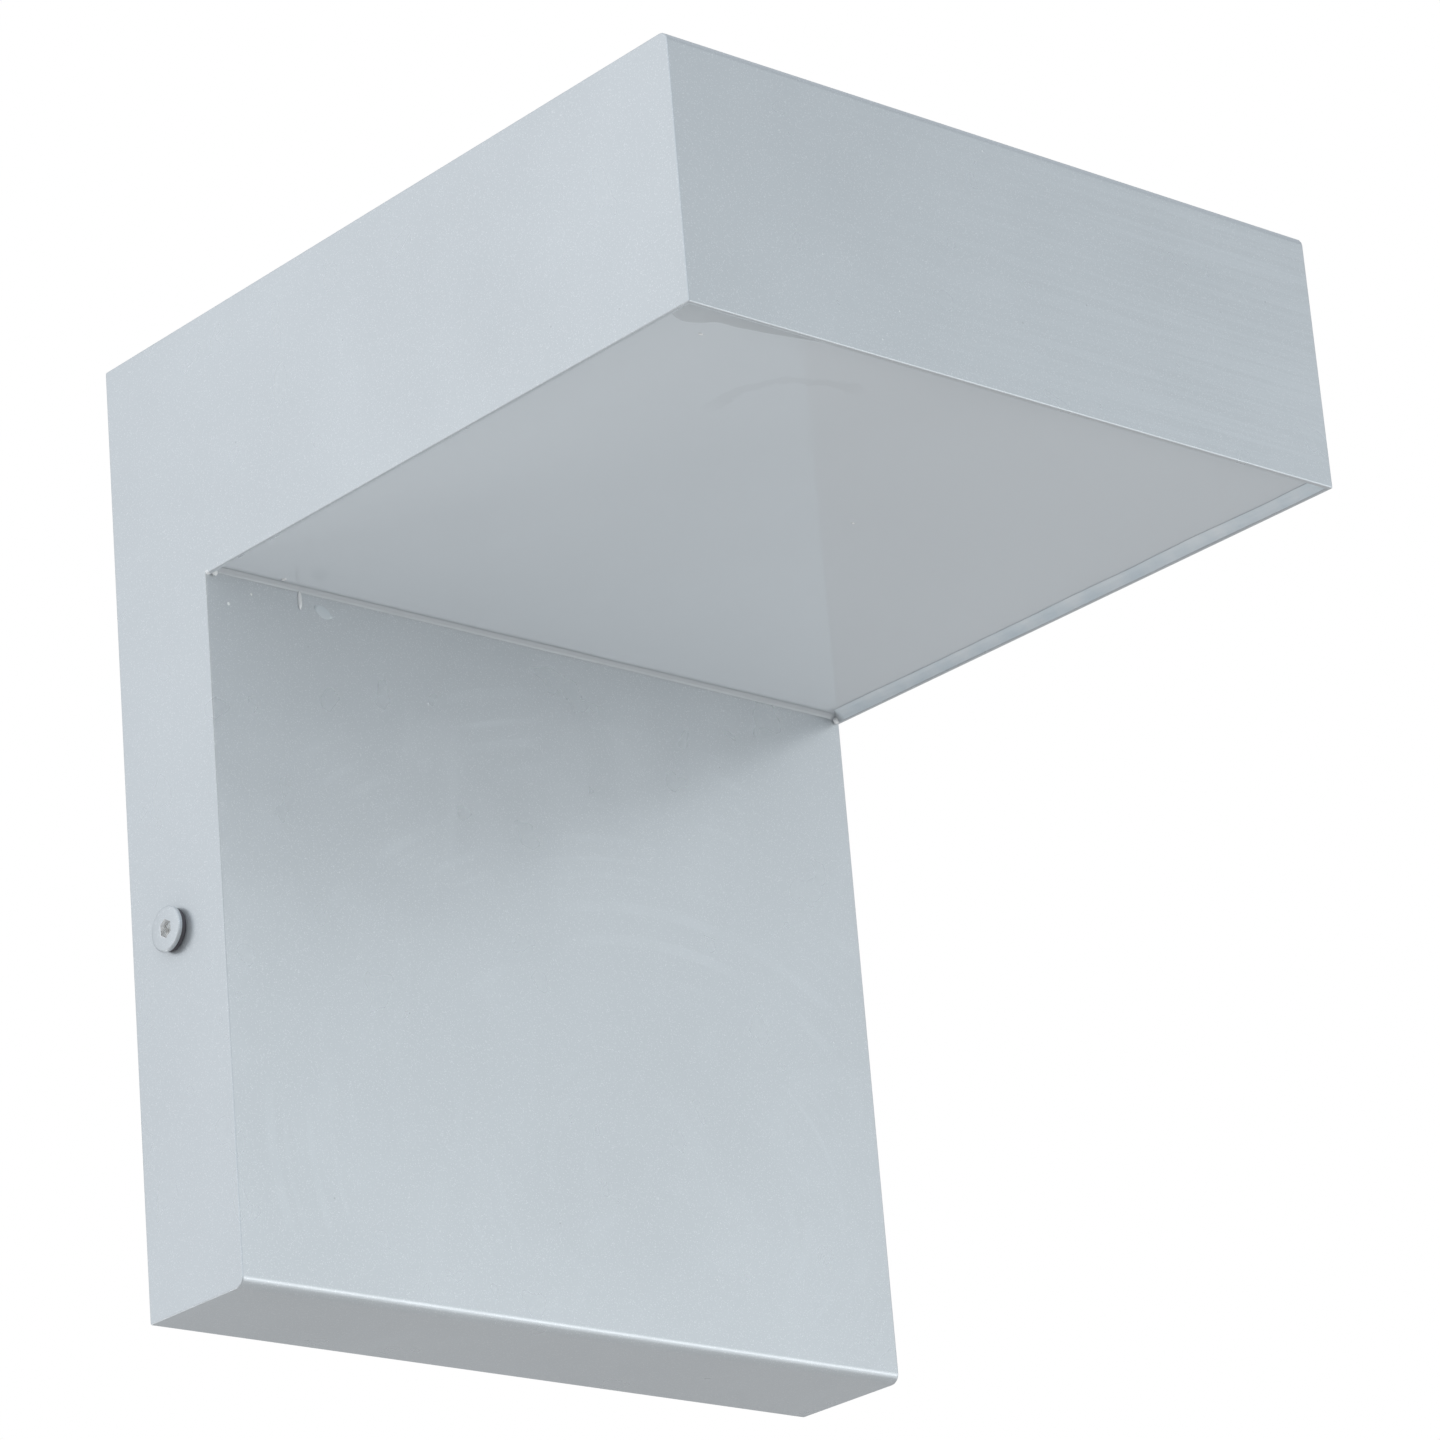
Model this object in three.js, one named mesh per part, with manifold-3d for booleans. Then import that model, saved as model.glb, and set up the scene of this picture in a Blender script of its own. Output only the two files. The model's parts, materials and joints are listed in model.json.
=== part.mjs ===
// Outdoor wall lantern. An inverted-L casing of folded and welded sheet metal shines down through an
// opal panel in the underside of its head. A screw through each side of its leg holds it on a bracket.
//
// Millimetres. +X is to the right as seen from the room, +Y is into the wall and +Z is up. The wall is
// the plane y = 0, and the origin is on the bracket's rear face, level with the two side screws.

import * as THREE from "three";
import { mergeVertices } from "three/addons/utils/BufferGeometryUtils.js";
import Module from "manifold-3d";

// ---------------------------------------------------------------------------------------------------
// Driving dimensions

// Casing
const CASING_WIDTH = 160;
const CASING_HEIGHT = 191;
const CASING_PROJECTION = 168.5; // from the wall to the head's front
const HEAD_HEIGHT = 52.5;
const LEG_DEPTH = 28.5; // from the wall to the leg's front
const SHEET = 1;
const FOLD_RADIUS = 2; // outside radius of the folds at the leg's foot and the head's top
const LEG_LIP = 14; // how far the leg's front sheet runs up inside the head
const STUD_DIAMETER = 4; // welded M4 studs
const STUD_END = 1; // what shows of a stud past its nut
const SHOULDER_DIAMETER = 7; // shoulder that holds the gear plate off the leg's front
const SHOULDER_HEIGHT = 2;

// Side screws, their washers and their nuts
const SCREW_HEIGHT = 72.5; // from the leg's foot to the screws' axis
const SCREW_FROM_WALL = 13;
const SCREW_DIAMETER = 5;
const SCREW_LENGTH = 12;
const SCREW_POINT = 0.6; // chamfer at the thread's end
const SCREW_HEAD_DIAMETER = 8.8;
const SCREW_HEAD_HEIGHT = 0.8;
const SCREW_HEAD_ROUNDING = 0.4;
const SOCKET_WIDTH = 3; // hexagon socket, across flats
const SOCKET_DEPTH = 2;
const WASHER_DIAMETER = 8.4;
const WASHER_THICKNESS = 1;
const SQUARE_NUT_WIDTH = 8;
const SQUARE_NUT_THICKNESS = 2.7;

// Wall bracket and cable grommet
const BRACKET_SHEET = 2;
const BRACKET_HEIGHT = 68;
const BRACKET_CORNER = 4;
const BEND_RADIUS = 3;
const EAR_HEIGHT = 28;
const EAR_NOSE = 7; // from the screws' axis to the ears' front edges
const NUT_RIB = 1.2; // thickness of the ribs that keep a square nut from turning
const NUT_RIB_LENGTH = 12;
const WALL_SLOT_WIDTH = 5.4;
const WALL_SLOT_LENGTH = 14;
const WALL_SLOT_SPACING_X = 100;
const WALL_SLOT_SPACING_Z = 44;
const CABLE_HOLE_DIAMETER = 16;
const CABLE_HOLE_DROP = 20; // from the screws' axis down to the cable hole's centre
const CABLE_BORE = 9;
const GROMMET_FLANGE = 2.5; // how far the flange stands out past the hole
const GROMMET_FLANGE_THICKNESS = 1.5;

// Opal panel, its sealant and its frame
const PANEL_RECESS = 1.7; // from the casing's lower edges up to the panel
const PANEL_THICKNESS = 3;
const BEAD_FOOT = 0.5; // bead width along the sheet's edge
const BEAD_WIDTH = 2.2; // bead width along the panel
const FRAME_SHEET = 1;
const FRAME_FLANGE = 10;
const FRAME_HEIGHT = 9;

// Reflector, LED board and tray
const REFLECTOR_SHEET = 0.8;
const REFLECTOR_HEIGHT = 24;
const REFLECTOR_FLANGE = 5;
const REFLECTOR_SLOPE = 19; // how far each wall leans in
const CONNECTOR_ROOM = 21; // how far the rear wall leans in, past which the connector sits
const BOARD_THICKNESS = 1.6;
const BOARD_MARGIN = 4; // from the tray's ends to the board
const TRAY_SHEET = 1.5;
const TRAY_FOLD = 6; // height of the tray's folded sides
const TRAY_MARGIN = 9; // from the casing's cheeks, front and leg to the tray
const TRAY_STUD_MARGIN = 6; // from the tray's edges to the studs
const SPACER_DIAMETER = 8;
const LED_SIZE = 5;
const LED_HEIGHT = 1.2;
const LED_MARGIN = 12; // from the reflector's upper opening to the outer LEDs' centres
const LEDS_PER_ROW = 3;
const CONNECTOR_SIZE = [12, 8, 6];
const CONNECTOR_INSET = 1.5; // from the board's rear edge to the connector

// Gear plate and what it carries
const GEAR_PLATE_SHEET = 1;
const GEAR_PLATE_MARGIN = 13; // from the cheeks to the plate: the ears and their nuts pass there
const GEAR_PLATE_LIFT = 12; // from the leg's foot to the plate
const GEAR_STUD_INSET = 8; // from the plate's sides to its studs
const GEAR_PLATE_CORNER = 4;
const DRIVER_SIZE = [76, 18, 26];
const DRIVER_CORNER = 3;
const DRIVER_EAR = 8;
const DRIVER_EAR_THICKNESS = 2.5;
const DRIVER_ABOVE_BRACKET = 3;
const DRIVER_LEAD_X = 24; // from the driver's middle to each pair of its leads
const LEAD_PITCH = 8;
const TERMINAL_POLES = 3;
const TERMINAL_PITCH = 10;
const TERMINAL_DEPTH = 15;
const TERMINAL_HEIGHT = 16;
const TERMINAL_X = 8; // the block's left side
const TERMINAL_LIFT = 6; // from the gear plate's lower edge to the block
const TERMINAL_SCREW_DIAMETER = 4;
const CLAMP_SIZE = [26, 9, 8];
const CLAMP_X = -20;
const CLAMP_GROOVE = 7.5;
const CLAMP_SCREW_INSET = 4;
const EARTH_INSET = 10; // from the gear plate's side and lower edge to the earth screw
const LUG_RING = 8;
const LUG_THICKNESS = 0.8;
const LUG_BARREL = 3.6;
const LUG_LENGTH = 9;

// Small fasteners
const HEX_NUT_WIDTH = 7;
const HEX_NUT_THICKNESS = 3.2;
const SMALL_SCREW_DIAMETER = 3;
const SCREW_END = 0.8; // what shows of a small screw past the sheet that it is driven into
const SMALL_HEAD_DIAMETER = 5.5;
const SMALL_HEAD_HEIGHT = 1.8;
const DRIVER_SLOT_WIDTH = 0.8; // screwdriver slot
const DRIVER_SLOT_DEPTH = 0.7;

// Leads
const MAINS_LEAD_DIAMETER = 2.4;
const LED_LEAD_DIAMETER = 1.8;
const LEAD_HOLE_DEPTH = 6;

// Clearances
const SEAT_GAP = 0.05; // between pieces that rest on each other
const FIT_GAP = 0.3; // round a piece that drops into its place
const EAR_GAP = 0.4; // between the casing's cheeks and the bracket's ears
const NUT_GAP = 0.2; // between a square nut and the ribs beside it
const SCREW_HOLE_GAP = 0.25; // radial, round the side screws
const THREAD_GAP = 0.15; // radial, between a thread and what it screws into
const LEAD_GAP = 0.35; // radial, round a lead in its hole
const CUT = 1; // how far a cutting tool runs past the face it opens

// How finely round things are faceted
const SIDES = 24;
const SMALL_SIDES = 12;
const LEAD_SIDES = 8;
const ARC_STEPS = 4;

// ---------------------------------------------------------------------------------------------------
// Planes that several pieces share

const legFoot = -SCREW_HEIGHT;
const casingTop = legFoot + CASING_HEIGHT;
const headUnderside = casingTop - HEAD_HEIGHT;
const legFront = -LEG_DEPTH;
const headFront = -CASING_PROJECTION;
const innerHalf = CASING_WIDTH / 2 - SHEET;
const innerFoot = legFoot + SHEET;
const innerTop = casingTop - SHEET;
const innerLegFront = legFront + SHEET;
const innerHeadFront = headFront + SHEET;
const headRoomX = [-innerHalf, innerHalf];
const headRoomY = [innerHeadFront, legFront];

const panelBottom = headUnderside + PANEL_RECESS;
const frameBottom = panelBottom + PANEL_THICKNESS + SEAT_GAP;
const frameX = inset(headRoomX, FIT_GAP);
const frameY = inset(headRoomY, FIT_GAP);
const reflectorBottom = frameBottom + FRAME_SHEET + SEAT_GAP;
const reflectorTop = reflectorBottom + REFLECTOR_HEIGHT;
const reflectorTopX = inset(frameX, FRAME_FLANGE + REFLECTOR_SLOPE);
const reflectorTopY = [
  frameY[0] + FRAME_FLANGE,
  frameY[1] - FRAME_FLANGE - CONNECTOR_ROOM,
];
const boardBottom = reflectorTop + FIT_GAP;
const trayBottom = boardBottom + BOARD_THICKNESS + SEAT_GAP;
const trayTop = trayBottom + TRAY_SHEET;
const trayX = inset(headRoomX, TRAY_MARGIN);
const trayY = inset(headRoomY, TRAY_MARGIN);
const trayStudX = inset(trayX, TRAY_STUD_MARGIN);
const trayStudY = inset(trayY, TRAY_STUD_MARGIN);
const boardX = inset(trayStudX, HEX_NUT_WIDTH / Math.sqrt(3) + FIT_GAP * 2);
const boardY = inset(trayY, BOARD_MARGIN);
const boardScrewX = inset(boardX, SMALL_HEAD_DIAMETER / 2 + FIT_GAP);
const boardScrewY = inset(boardY, SMALL_HEAD_DIAMETER / 2 + FIT_GAP);

const earHalf = innerHalf - EAR_GAP; // outer faces of the bracket's ears
const earInner = earHalf - BRACKET_SHEET;
const bracketFront = -BRACKET_SHEET;
const earFront = -SCREW_FROM_WALL - EAR_NOSE;

const gearFront = innerLegFront + SHOULDER_HEIGHT + SEAT_GAP;
const gearRear = gearFront + GEAR_PLATE_SHEET;
const gearSeat = gearRear + SEAT_GAP; // where the parts on the gear plate sit
const gearHalf = innerHalf - GEAR_PLATE_MARGIN;
const gearStudX = [-gearHalf + GEAR_STUD_INSET, gearHalf - GEAR_STUD_INSET];
const gearBottom = innerFoot + GEAR_PLATE_LIFT;
const driverBottom = BRACKET_HEIGHT / 2 + DRIVER_ABOVE_BRACKET;
const driverTop = driverBottom + DRIVER_SIZE[2];
const driverMidZ = (driverBottom + driverTop) / 2;
const driverMidY = gearSeat + DRIVER_SIZE[1] / 2;
const driverScrewX = DRIVER_SIZE[0] / 2 + DRIVER_EAR / 2;
const gearTop = driverTop + DRIVER_ABOVE_BRACKET;
const terminalBottom = gearBottom + TERMINAL_LIFT;
const terminalTop = terminalBottom + TERMINAL_HEIGHT;
const terminalMidY = gearSeat + TERMINAL_DEPTH / 2;
const clampMidZ = terminalBottom + CLAMP_SIZE[2] / 2;
const earthX = -gearHalf + EARTH_INSET;
const earthZ = gearBottom + EARTH_INSET;

// ---------------------------------------------------------------------------------------------------
// Geometry helpers

const wasm = await Module();
wasm.setup();

// A pair of limits moved towards each other.
function inset([from, to], distance) {
  return [from + distance, to - distance];
}

function middle([from, to]) {
  return (from + to) / 2;
}

// Every pair of one place along x and one along y.
function grid(xs, ys) {
  return xs.flatMap((x) => ys.map((y) => [x, y]));
}

function toSolid(geometry) {
  const bare = geometry.index ? geometry.toNonIndexed() : geometry.clone();
  bare.deleteAttribute("normal");
  bare.deleteAttribute("uv");
  const merged = mergeVertices(bare, 1e-4);
  const mesh = new wasm.Mesh({
    numProp: 3,
    vertProperties: merged.attributes.position.array,
    triVerts: new Uint32Array(merged.index.array),
  });
  return new wasm.Manifold(mesh);
}

function toGeometry(solid) {
  const mesh = solid.getMesh();
  const geometry = new THREE.BufferGeometry();
  const positions = new Float32Array(mesh.vertProperties);
  geometry.setAttribute("position", new THREE.BufferAttribute(positions, 3));
  geometry.setIndex(new THREE.BufferAttribute(new Uint32Array(mesh.triVerts), 1));
  geometry.computeVertexNormals();
  return geometry;
}

function join(...geometries) {
  return toGeometry(geometries.map(toSolid).reduce((all, next) => all.add(next)));
}

function cut(body, ...tools) {
  return toGeometry(tools.map(toSolid).reduce((left, tool) => left.subtract(tool), toSolid(body)));
}

// A block whose lower and upper faces may be different rectangles, each { x: limits, y: limits, z }.
function taperedBlock(lower, upper) {
  const geometry = new THREE.BoxGeometry(2, 2, 2);
  const position = geometry.attributes.position;
  for (let i = 0; i < position.count; i++) {
    const face = position.getZ(i) < 0 ? lower : upper;
    const x = face.x[position.getX(i) < 0 ? 0 : 1];
    const y = face.y[position.getY(i) < 0 ? 0 : 1];
    position.setXYZ(i, x, y, face.z);
  }
  return geometry;
}

function block(x, y, z) {
  return taperedBlock({ x, y, z: z[0] }, { x, y, z: z[1] });
}

// Round rods along each axis, between two places on it.
function rodX(diameter, [from, to], y, z, sides = SIDES) {
  const rod = new THREE.CylinderGeometry(diameter / 2, diameter / 2, to - from, sides);
  return rod.rotateZ(Math.PI / 2).translate((from + to) / 2, y, z);
}

function rodY(diameter, [from, to], x, z, sides = SIDES) {
  const rod = new THREE.CylinderGeometry(diameter / 2, diameter / 2, to - from, sides);
  return rod.translate(x, (from + to) / 2, z);
}

function rodZ(diameter, [from, to], x, y, sides = SIDES) {
  const rod = new THREE.CylinderGeometry(diameter / 2, diameter / 2, to - from, sides);
  return rod.rotateX(Math.PI / 2).translate(x, y, (from + to) / 2);
}

// The points of an outline with square corners, given as [u, v] or, for a rounded one, [u, v, radius].
function outline(corners) {
  return corners.flatMap(([u, v, radius = 0], i) => {
    const corner = new THREE.Vector2(u, v);
    if (radius === 0) return [corner];
    const [beforeU, beforeV] = corners.at(i - 1);
    const [afterU, afterV] = corners[(i + 1) % corners.length];
    const before = new THREE.Vector2(beforeU, beforeV).sub(corner).setLength(radius);
    const after = new THREE.Vector2(afterU, afterV).sub(corner).setLength(radius);
    const centre = corner.clone().add(before).add(after);
    return Array.from({ length: ARC_STEPS + 1 }, (_, step) => {
      const angle = (step / ARC_STEPS) * (Math.PI / 2);
      const point = centre.clone().addScaledVector(after, -Math.cos(angle));
      return point.addScaledVector(before, -Math.sin(angle));
    });
  });
}

function rectangle(u, v, radius = 0) {
  return outline([
    [u[0], v[0], radius],
    [u[1], v[0], radius],
    [u[1], v[1], radius],
    [u[0], v[1], radius],
  ]);
}

// A regular polygon, or a circle when it has many sides. Its first corner points along +v.
function polygon(radius, sides, u = 0, v = 0) {
  return Array.from({ length: sides }, (_, i) => {
    const angle = Math.PI / 2 + (i / sides) * 2 * Math.PI;
    return new THREE.Vector2(u + radius * Math.cos(angle), v + radius * Math.sin(angle));
  });
}

// A slot with round ends, centred on (u, v). It lies along u, or along v when it is upright.
function slot(u, v, width, length, upright) {
  const radius = width / 2;
  const reach = length / 2 - radius;
  const half = SMALL_SIDES / 2;
  const ends = [0, 1].flatMap((end) =>
    Array.from({ length: half + 1 }, (_, i) => {
      const angle = -Math.PI / 2 + (end + i / half) * Math.PI;
      const along = (end ? -reach : reach) + radius * Math.cos(angle);
      return [along, radius * Math.sin(angle)];
    }),
  );
  const turn = upright ? Math.PI / 2 : 0;
  const centre = new THREE.Vector2(u, v);
  return ends.map((end) => new THREE.Vector2(...end).rotateAround(new THREE.Vector2(), turn).add(centre));
}

function prism(points, holes, depth) {
  const shape = new THREE.Shape(points);
  shape.holes = holes.map((hole) => new THREE.Path(hole));
  return new THREE.ExtrudeGeometry(shape, { depth, bevelEnabled: false });
}

// Prisms along each axis. The outline lies in (y, z), (x, z) or (x, y).
function prismX(points, [from, to], holes = []) {
  const turn = new THREE.Matrix4().makeBasis(
    new THREE.Vector3(0, 1, 0),
    new THREE.Vector3(0, 0, 1),
    new THREE.Vector3(1, 0, 0),
  );
  return prism(points, holes, to - from).applyMatrix4(turn).translate(from, 0, 0);
}

function prismY(points, [from, to], holes = []) {
  return prism(points, holes, to - from)
    .rotateX(Math.PI / 2)
    .translate(0, to, 0);
}

function prismZ(points, [from, to], holes = []) {
  return prism(points, holes, to - from).translate(0, 0, from);
}

// A ring or a disc turned round the Y axis from a closed profile of [radius, y] corners.
function turned(profile, sides = SIDES) {
  const points = profile.map(([radius, y]) => new THREE.Vector2(radius, y));
  return new THREE.LatheGeometry(points, sides);
}

// A pan-head screw. Its axis is Y: the head's seat is y = 0, and the thread runs to -length.
function panScrew(diameter, length, headDiameter, headHeight) {
  const radius = diameter / 2;
  const headRadius = headDiameter / 2;
  const rounding = headHeight / 3;
  const body = turned(
    [
      [0, -length],
      [radius, -length],
      [radius, 0],
      [headRadius, 0],
      [headRadius, headHeight - rounding],
      [headRadius - rounding, headHeight],
      [0, headHeight],
    ],
    SMALL_SIDES,
  );
  const slotHalf = DRIVER_SLOT_WIDTH / 2;
  const recess = block(
    [-headRadius - CUT, headRadius + CUT],
    [headHeight - DRIVER_SLOT_DEPTH, headHeight + CUT],
    [-slotHalf, slotHalf],
  );
  return cut(body, recess);
}

// A small screw that holds a piece of the given thickness on a sheet.
function smallScrew(thickness, sheet) {
  const length = thickness + sheet + SCREW_END;
  return panScrew(SMALL_SCREW_DIAMETER, length, SMALL_HEAD_DIAMETER, SMALL_HEAD_HEIGHT);
}

// A hexagon nut along Y, with its seat at y = 0 and the rest of it above.
function hexNut() {
  const hole = polygon(STUD_DIAMETER / 2 + THREAD_GAP, SMALL_SIDES);
  return prismY(polygon(HEX_NUT_WIDTH / Math.sqrt(3), 6), [0, HEX_NUT_THICKNESS], [hole]);
}

// A lead from the floor of one hole to the floor of another, by way of hand-set points. Each end is
// { mouth, out }: the middle of the hole's mouth and the direction out of it.
function lead(diameter, first, way, last) {
  const along = ({ mouth, out }, distance) =>
    new THREE.Vector3(...mouth).addScaledVector(new THREE.Vector3(...out), distance);
  const floor = FIT_GAP - LEAD_HOLE_DEPTH;
  const curve = new THREE.CatmullRomCurve3([
    ...[floor, 0, diameter].map((distance) => along(first, distance)),
    ...way.map((point) => new THREE.Vector3(...point)),
    ...[diameter, 0, floor].map((distance) => along(last, distance)),
  ]);
  const steps = Math.round(curve.getLength() / (2 * diameter));
  return new THREE.ExtrudeGeometry(new THREE.Shape(polygon(diameter / 2, LEAD_SIDES)), {
    steps,
    extrudePath: curve,
    bevelEnabled: false,
  });
}

// ---------------------------------------------------------------------------------------------------
// Materials

const finish = (color, roughness, metalness) =>
  new THREE.MeshStandardMaterial({ color, roughness, metalness });

const silverPaint = finish(0xc3cad0, 0.45, 0.55);
const opal = finish(0xe4e7e8, 0.12, 0);
const silicone = finish(0xd8dcde, 0.2, 0);
const zincPlate = finish(0xb9bcc0, 0.35, 0.9);
const bareSteel = finish(0xaeb2b6, 0.3, 1);
const aluminium = finish(0xc8cacc, 0.4, 0.9);
const whiteSheet = finish(0xf2f2f0, 0.5, 0);
const boardWhite = finish(0xf4f4f2, 0.4, 0);
const ledYellow = finish(0xe9d35a, 0.35, 0);
const blackRubber = finish(0x1c1c1e, 0.7, 0);
const whitePlastic = finish(0xe9e9e6, 0.45, 0);
const naturalNylon = finish(0xdcd8c8, 0.4, 0);
const tinned = finish(0xc9c7c0, 0.35, 1);
const brownSleeve = finish(0x5a3320, 0.5, 0);
const blueSleeve = finish(0x2b5fa8, 0.5, 0);
const greenSleeve = finish(0x6f9a2c, 0.5, 0);
const redSleeve = finish(0xb3241f, 0.5, 0);
const blackSleeve = finish(0x222224, 0.5, 0);

// ---------------------------------------------------------------------------------------------------
// The lantern's casing and optics

function casing() {
  const outside = outline([
    [0, legFoot],
    [0, casingTop],
    [headFront, casingTop, FOLD_RADIUS],
    [headFront, headUnderside],
    [legFront, headUnderside],
    [legFront, legFoot, FOLD_RADIUS],
  ]);
  const hollow = outline([
    [CUT, innerFoot],
    [CUT, innerTop],
    [innerHeadFront, innerTop, FOLD_RADIUS - SHEET],
    [innerHeadFront, headUnderside - CUT],
    [legFront, headUnderside - CUT],
    [legFront, headUnderside + LEG_LIP],
    [innerLegFront, headUnderside + LEG_LIP],
    [innerLegFront, innerFoot, FOLD_RADIUS - SHEET],
  ]);
  const half = CASING_WIDTH / 2;
  const screwHole = SCREW_DIAMETER + 2 * SCREW_HOLE_GAP;
  const shell = cut(
    prismX(outside.reverse(), [-half, half]),
    prismX(hollow.reverse(), headRoomX),
    rodX(screwHole, [-half - CUT, half + CUT], -SCREW_FROM_WALL, 0),
  );
  const studEnd = trayBottom - SEAT_GAP - HEX_NUT_THICKNESS - STUD_END;
  const trayStuds = grid(trayStudX, trayStudY).map(([x, y]) =>
    rodZ(STUD_DIAMETER, [studEnd, innerTop + SHEET / 2], x, y, SMALL_SIDES),
  );
  const gearStudEnd = gearSeat + HEX_NUT_THICKNESS + STUD_END;
  const weld = innerLegFront - SHEET / 2;
  const gearStuds = gearStudX.flatMap((x) => [
    rodY(STUD_DIAMETER, [weld, gearStudEnd], x, 0, SMALL_SIDES),
    rodY(SHOULDER_DIAMETER, [weld, innerLegFront + SHOULDER_HEIGHT], x, 0, SMALL_SIDES),
  ]);
  return join(shell, ...trayStuds, ...gearStuds);
}

function diffuserPanel() {
  return block(
    inset(headRoomX, FIT_GAP),
    inset(headRoomY, FIT_GAP),
    [panelBottom, panelBottom + PANEL_THICKNESS],
  );
}

function siliconeBead() {
  const top = panelBottom - SEAT_GAP;
  const bottom = headUnderside + SEAT_GAP;
  const x = inset(headRoomX, SEAT_GAP);
  const y = inset(headRoomY, SEAT_GAP);
  const slope = (BEAD_WIDTH - BEAD_FOOT) / (top - bottom);
  const foot = BEAD_FOOT - slope * CUT;
  const head = BEAD_WIDTH + slope * CUT;
  const opening = taperedBlock(
    { x: inset(x, foot), y: inset(y, foot), z: bottom - CUT },
    { x: inset(x, head), y: inset(y, head), z: top + CUT },
  );
  return cut(block(x, y, [bottom, top]), opening);
}

function panelFrame() {
  const window = [inset(frameX, FRAME_FLANGE), inset(frameY, FRAME_FLANGE)];
  const upstand = [inset(frameX, FRAME_SHEET), inset(frameY, FRAME_SHEET)];
  return cut(
    block(frameX, frameY, [frameBottom, frameBottom + FRAME_HEIGHT]),
    block(...window, [frameBottom - CUT, frameBottom + FRAME_HEIGHT]),
    block(...upstand, [frameBottom + FRAME_SHEET, frameBottom + FRAME_HEIGHT + CUT]),
  );
}

function reflector() {
  const lower = { x: inset(frameX, FRAME_FLANGE), y: inset(frameY, FRAME_FLANGE), z: reflectorBottom };
  const upper = { x: reflectorTopX, y: reflectorTopY, z: reflectorTop };
  const grown = ({ x, y, z }) => ({ x: inset(x, -REFLECTOR_SHEET), y: inset(y, -REFLECTOR_SHEET), z });
  const flangeX = inset(lower.x, -REFLECTOR_FLANGE);
  const flangeY = inset(lower.y, -REFLECTOR_FLANGE);
  const flange = block(flangeX, flangeY, [reflectorBottom, reflectorBottom + REFLECTOR_SHEET]);
  const below = { ...lower, z: reflectorBottom - CUT };
  const above = { ...upper, z: reflectorTop + CUT };
  return cut(
    join(taperedBlock(grown(lower), grown(upper)), flange),
    taperedBlock(lower, upper),
    taperedBlock(below, lower),
    taperedBlock(upper, above),
  );
}

// ---------------------------------------------------------------------------------------------------
// The LED board and the tray over it

function ledTray() {
  const folded = cut(
    block(trayX, trayY, [trayBottom, trayTop + TRAY_FOLD]),
    block(inset(trayX, TRAY_SHEET), inset(trayY, -CUT), [trayTop, trayTop + TRAY_FOLD + CUT]),
  );
  const through = [trayBottom - CUT, trayTop + CUT];
  const studHole = STUD_DIAMETER + 2 * FIT_GAP;
  const screwHole = SMALL_SCREW_DIAMETER + 2 * THREAD_GAP;
  const studHoles = grid(trayStudX, trayStudY).map(([x, y]) => rodZ(studHole, through, x, y, SMALL_SIDES));
  const screwHoles = grid(boardScrewX, boardScrewY).map(([x, y]) =>
    rodZ(screwHole, through, x, y, SMALL_SIDES),
  );
  return cut(folded, ...studHoles, ...screwHoles);
}

// A spacer over a stud, along Y, with its foot at y = 0.
function traySpacer() {
  const inner = STUD_DIAMETER / 2 + FIT_GAP;
  const outer = SPACER_DIAMETER / 2;
  const length = innerTop - trayTop - 2 * SEAT_GAP;
  return prismY(polygon(outer, SMALL_SIDES), [0, length], [polygon(inner, SMALL_SIDES)]);
}

function ledBoard() {
  const screwHole = SMALL_SCREW_DIAMETER + 2 * FIT_GAP;
  const holes = grid(boardScrewX, boardScrewY).map(([x, y]) => polygon(screwHole / 2, SMALL_SIDES, x, y));
  return prismZ(rectangle(boardX, boardY), [boardBottom, boardBottom + BOARD_THICKNESS], holes);
}

// One LED package under the board: a square body whose lower face, the lens, is a little smaller.
function led() {
  const half = [-LED_SIZE / 2, LED_SIZE / 2];
  const lens = inset(half, LED_SIZE / 12);
  return taperedBlock({ x: lens, y: lens, z: -LED_HEIGHT }, { x: half, y: half, z: 0 });
}

// Where the LEDs sit: rows of equal pitch inside the reflector's upper opening.
function ledPlaces() {
  const x = inset(reflectorTopX, LED_MARGIN);
  const y = inset(reflectorTopY, LED_MARGIN);
  const steps = Array.from({ length: LEDS_PER_ROW }, (_, i) => i / (LEDS_PER_ROW - 1));
  const spread = ([from, to]) => steps.map((step) => THREE.MathUtils.lerp(from, to, step));
  return grid(spread(x), spread(y));
}

const connectorTop = boardBottom - SEAT_GAP;
const connectorRear = boardY[1] - CONNECTOR_INSET;
const connectorLeadZ = connectorTop - CONNECTOR_SIZE[2] / 2;
const ledLeadX = [CONNECTOR_SIZE[0] / 4, -CONNECTOR_SIZE[0] / 4];

function ledConnector() {
  const [width, depth, height] = CONNECTOR_SIZE;
  const holeY = [connectorRear - LEAD_HOLE_DEPTH, connectorRear + CUT];
  const hole = LED_LEAD_DIAMETER + 2 * LEAD_GAP;
  return cut(
    block(
      [-width / 2, width / 2],
      [connectorRear - depth, connectorRear],
      [connectorTop - height, connectorTop],
    ),
    ...ledLeadX.map((x) => rodY(hole, holeY, x, connectorLeadZ, SMALL_SIDES)),
  );
}

// ---------------------------------------------------------------------------------------------------
// The gear plate and what it carries

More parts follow.
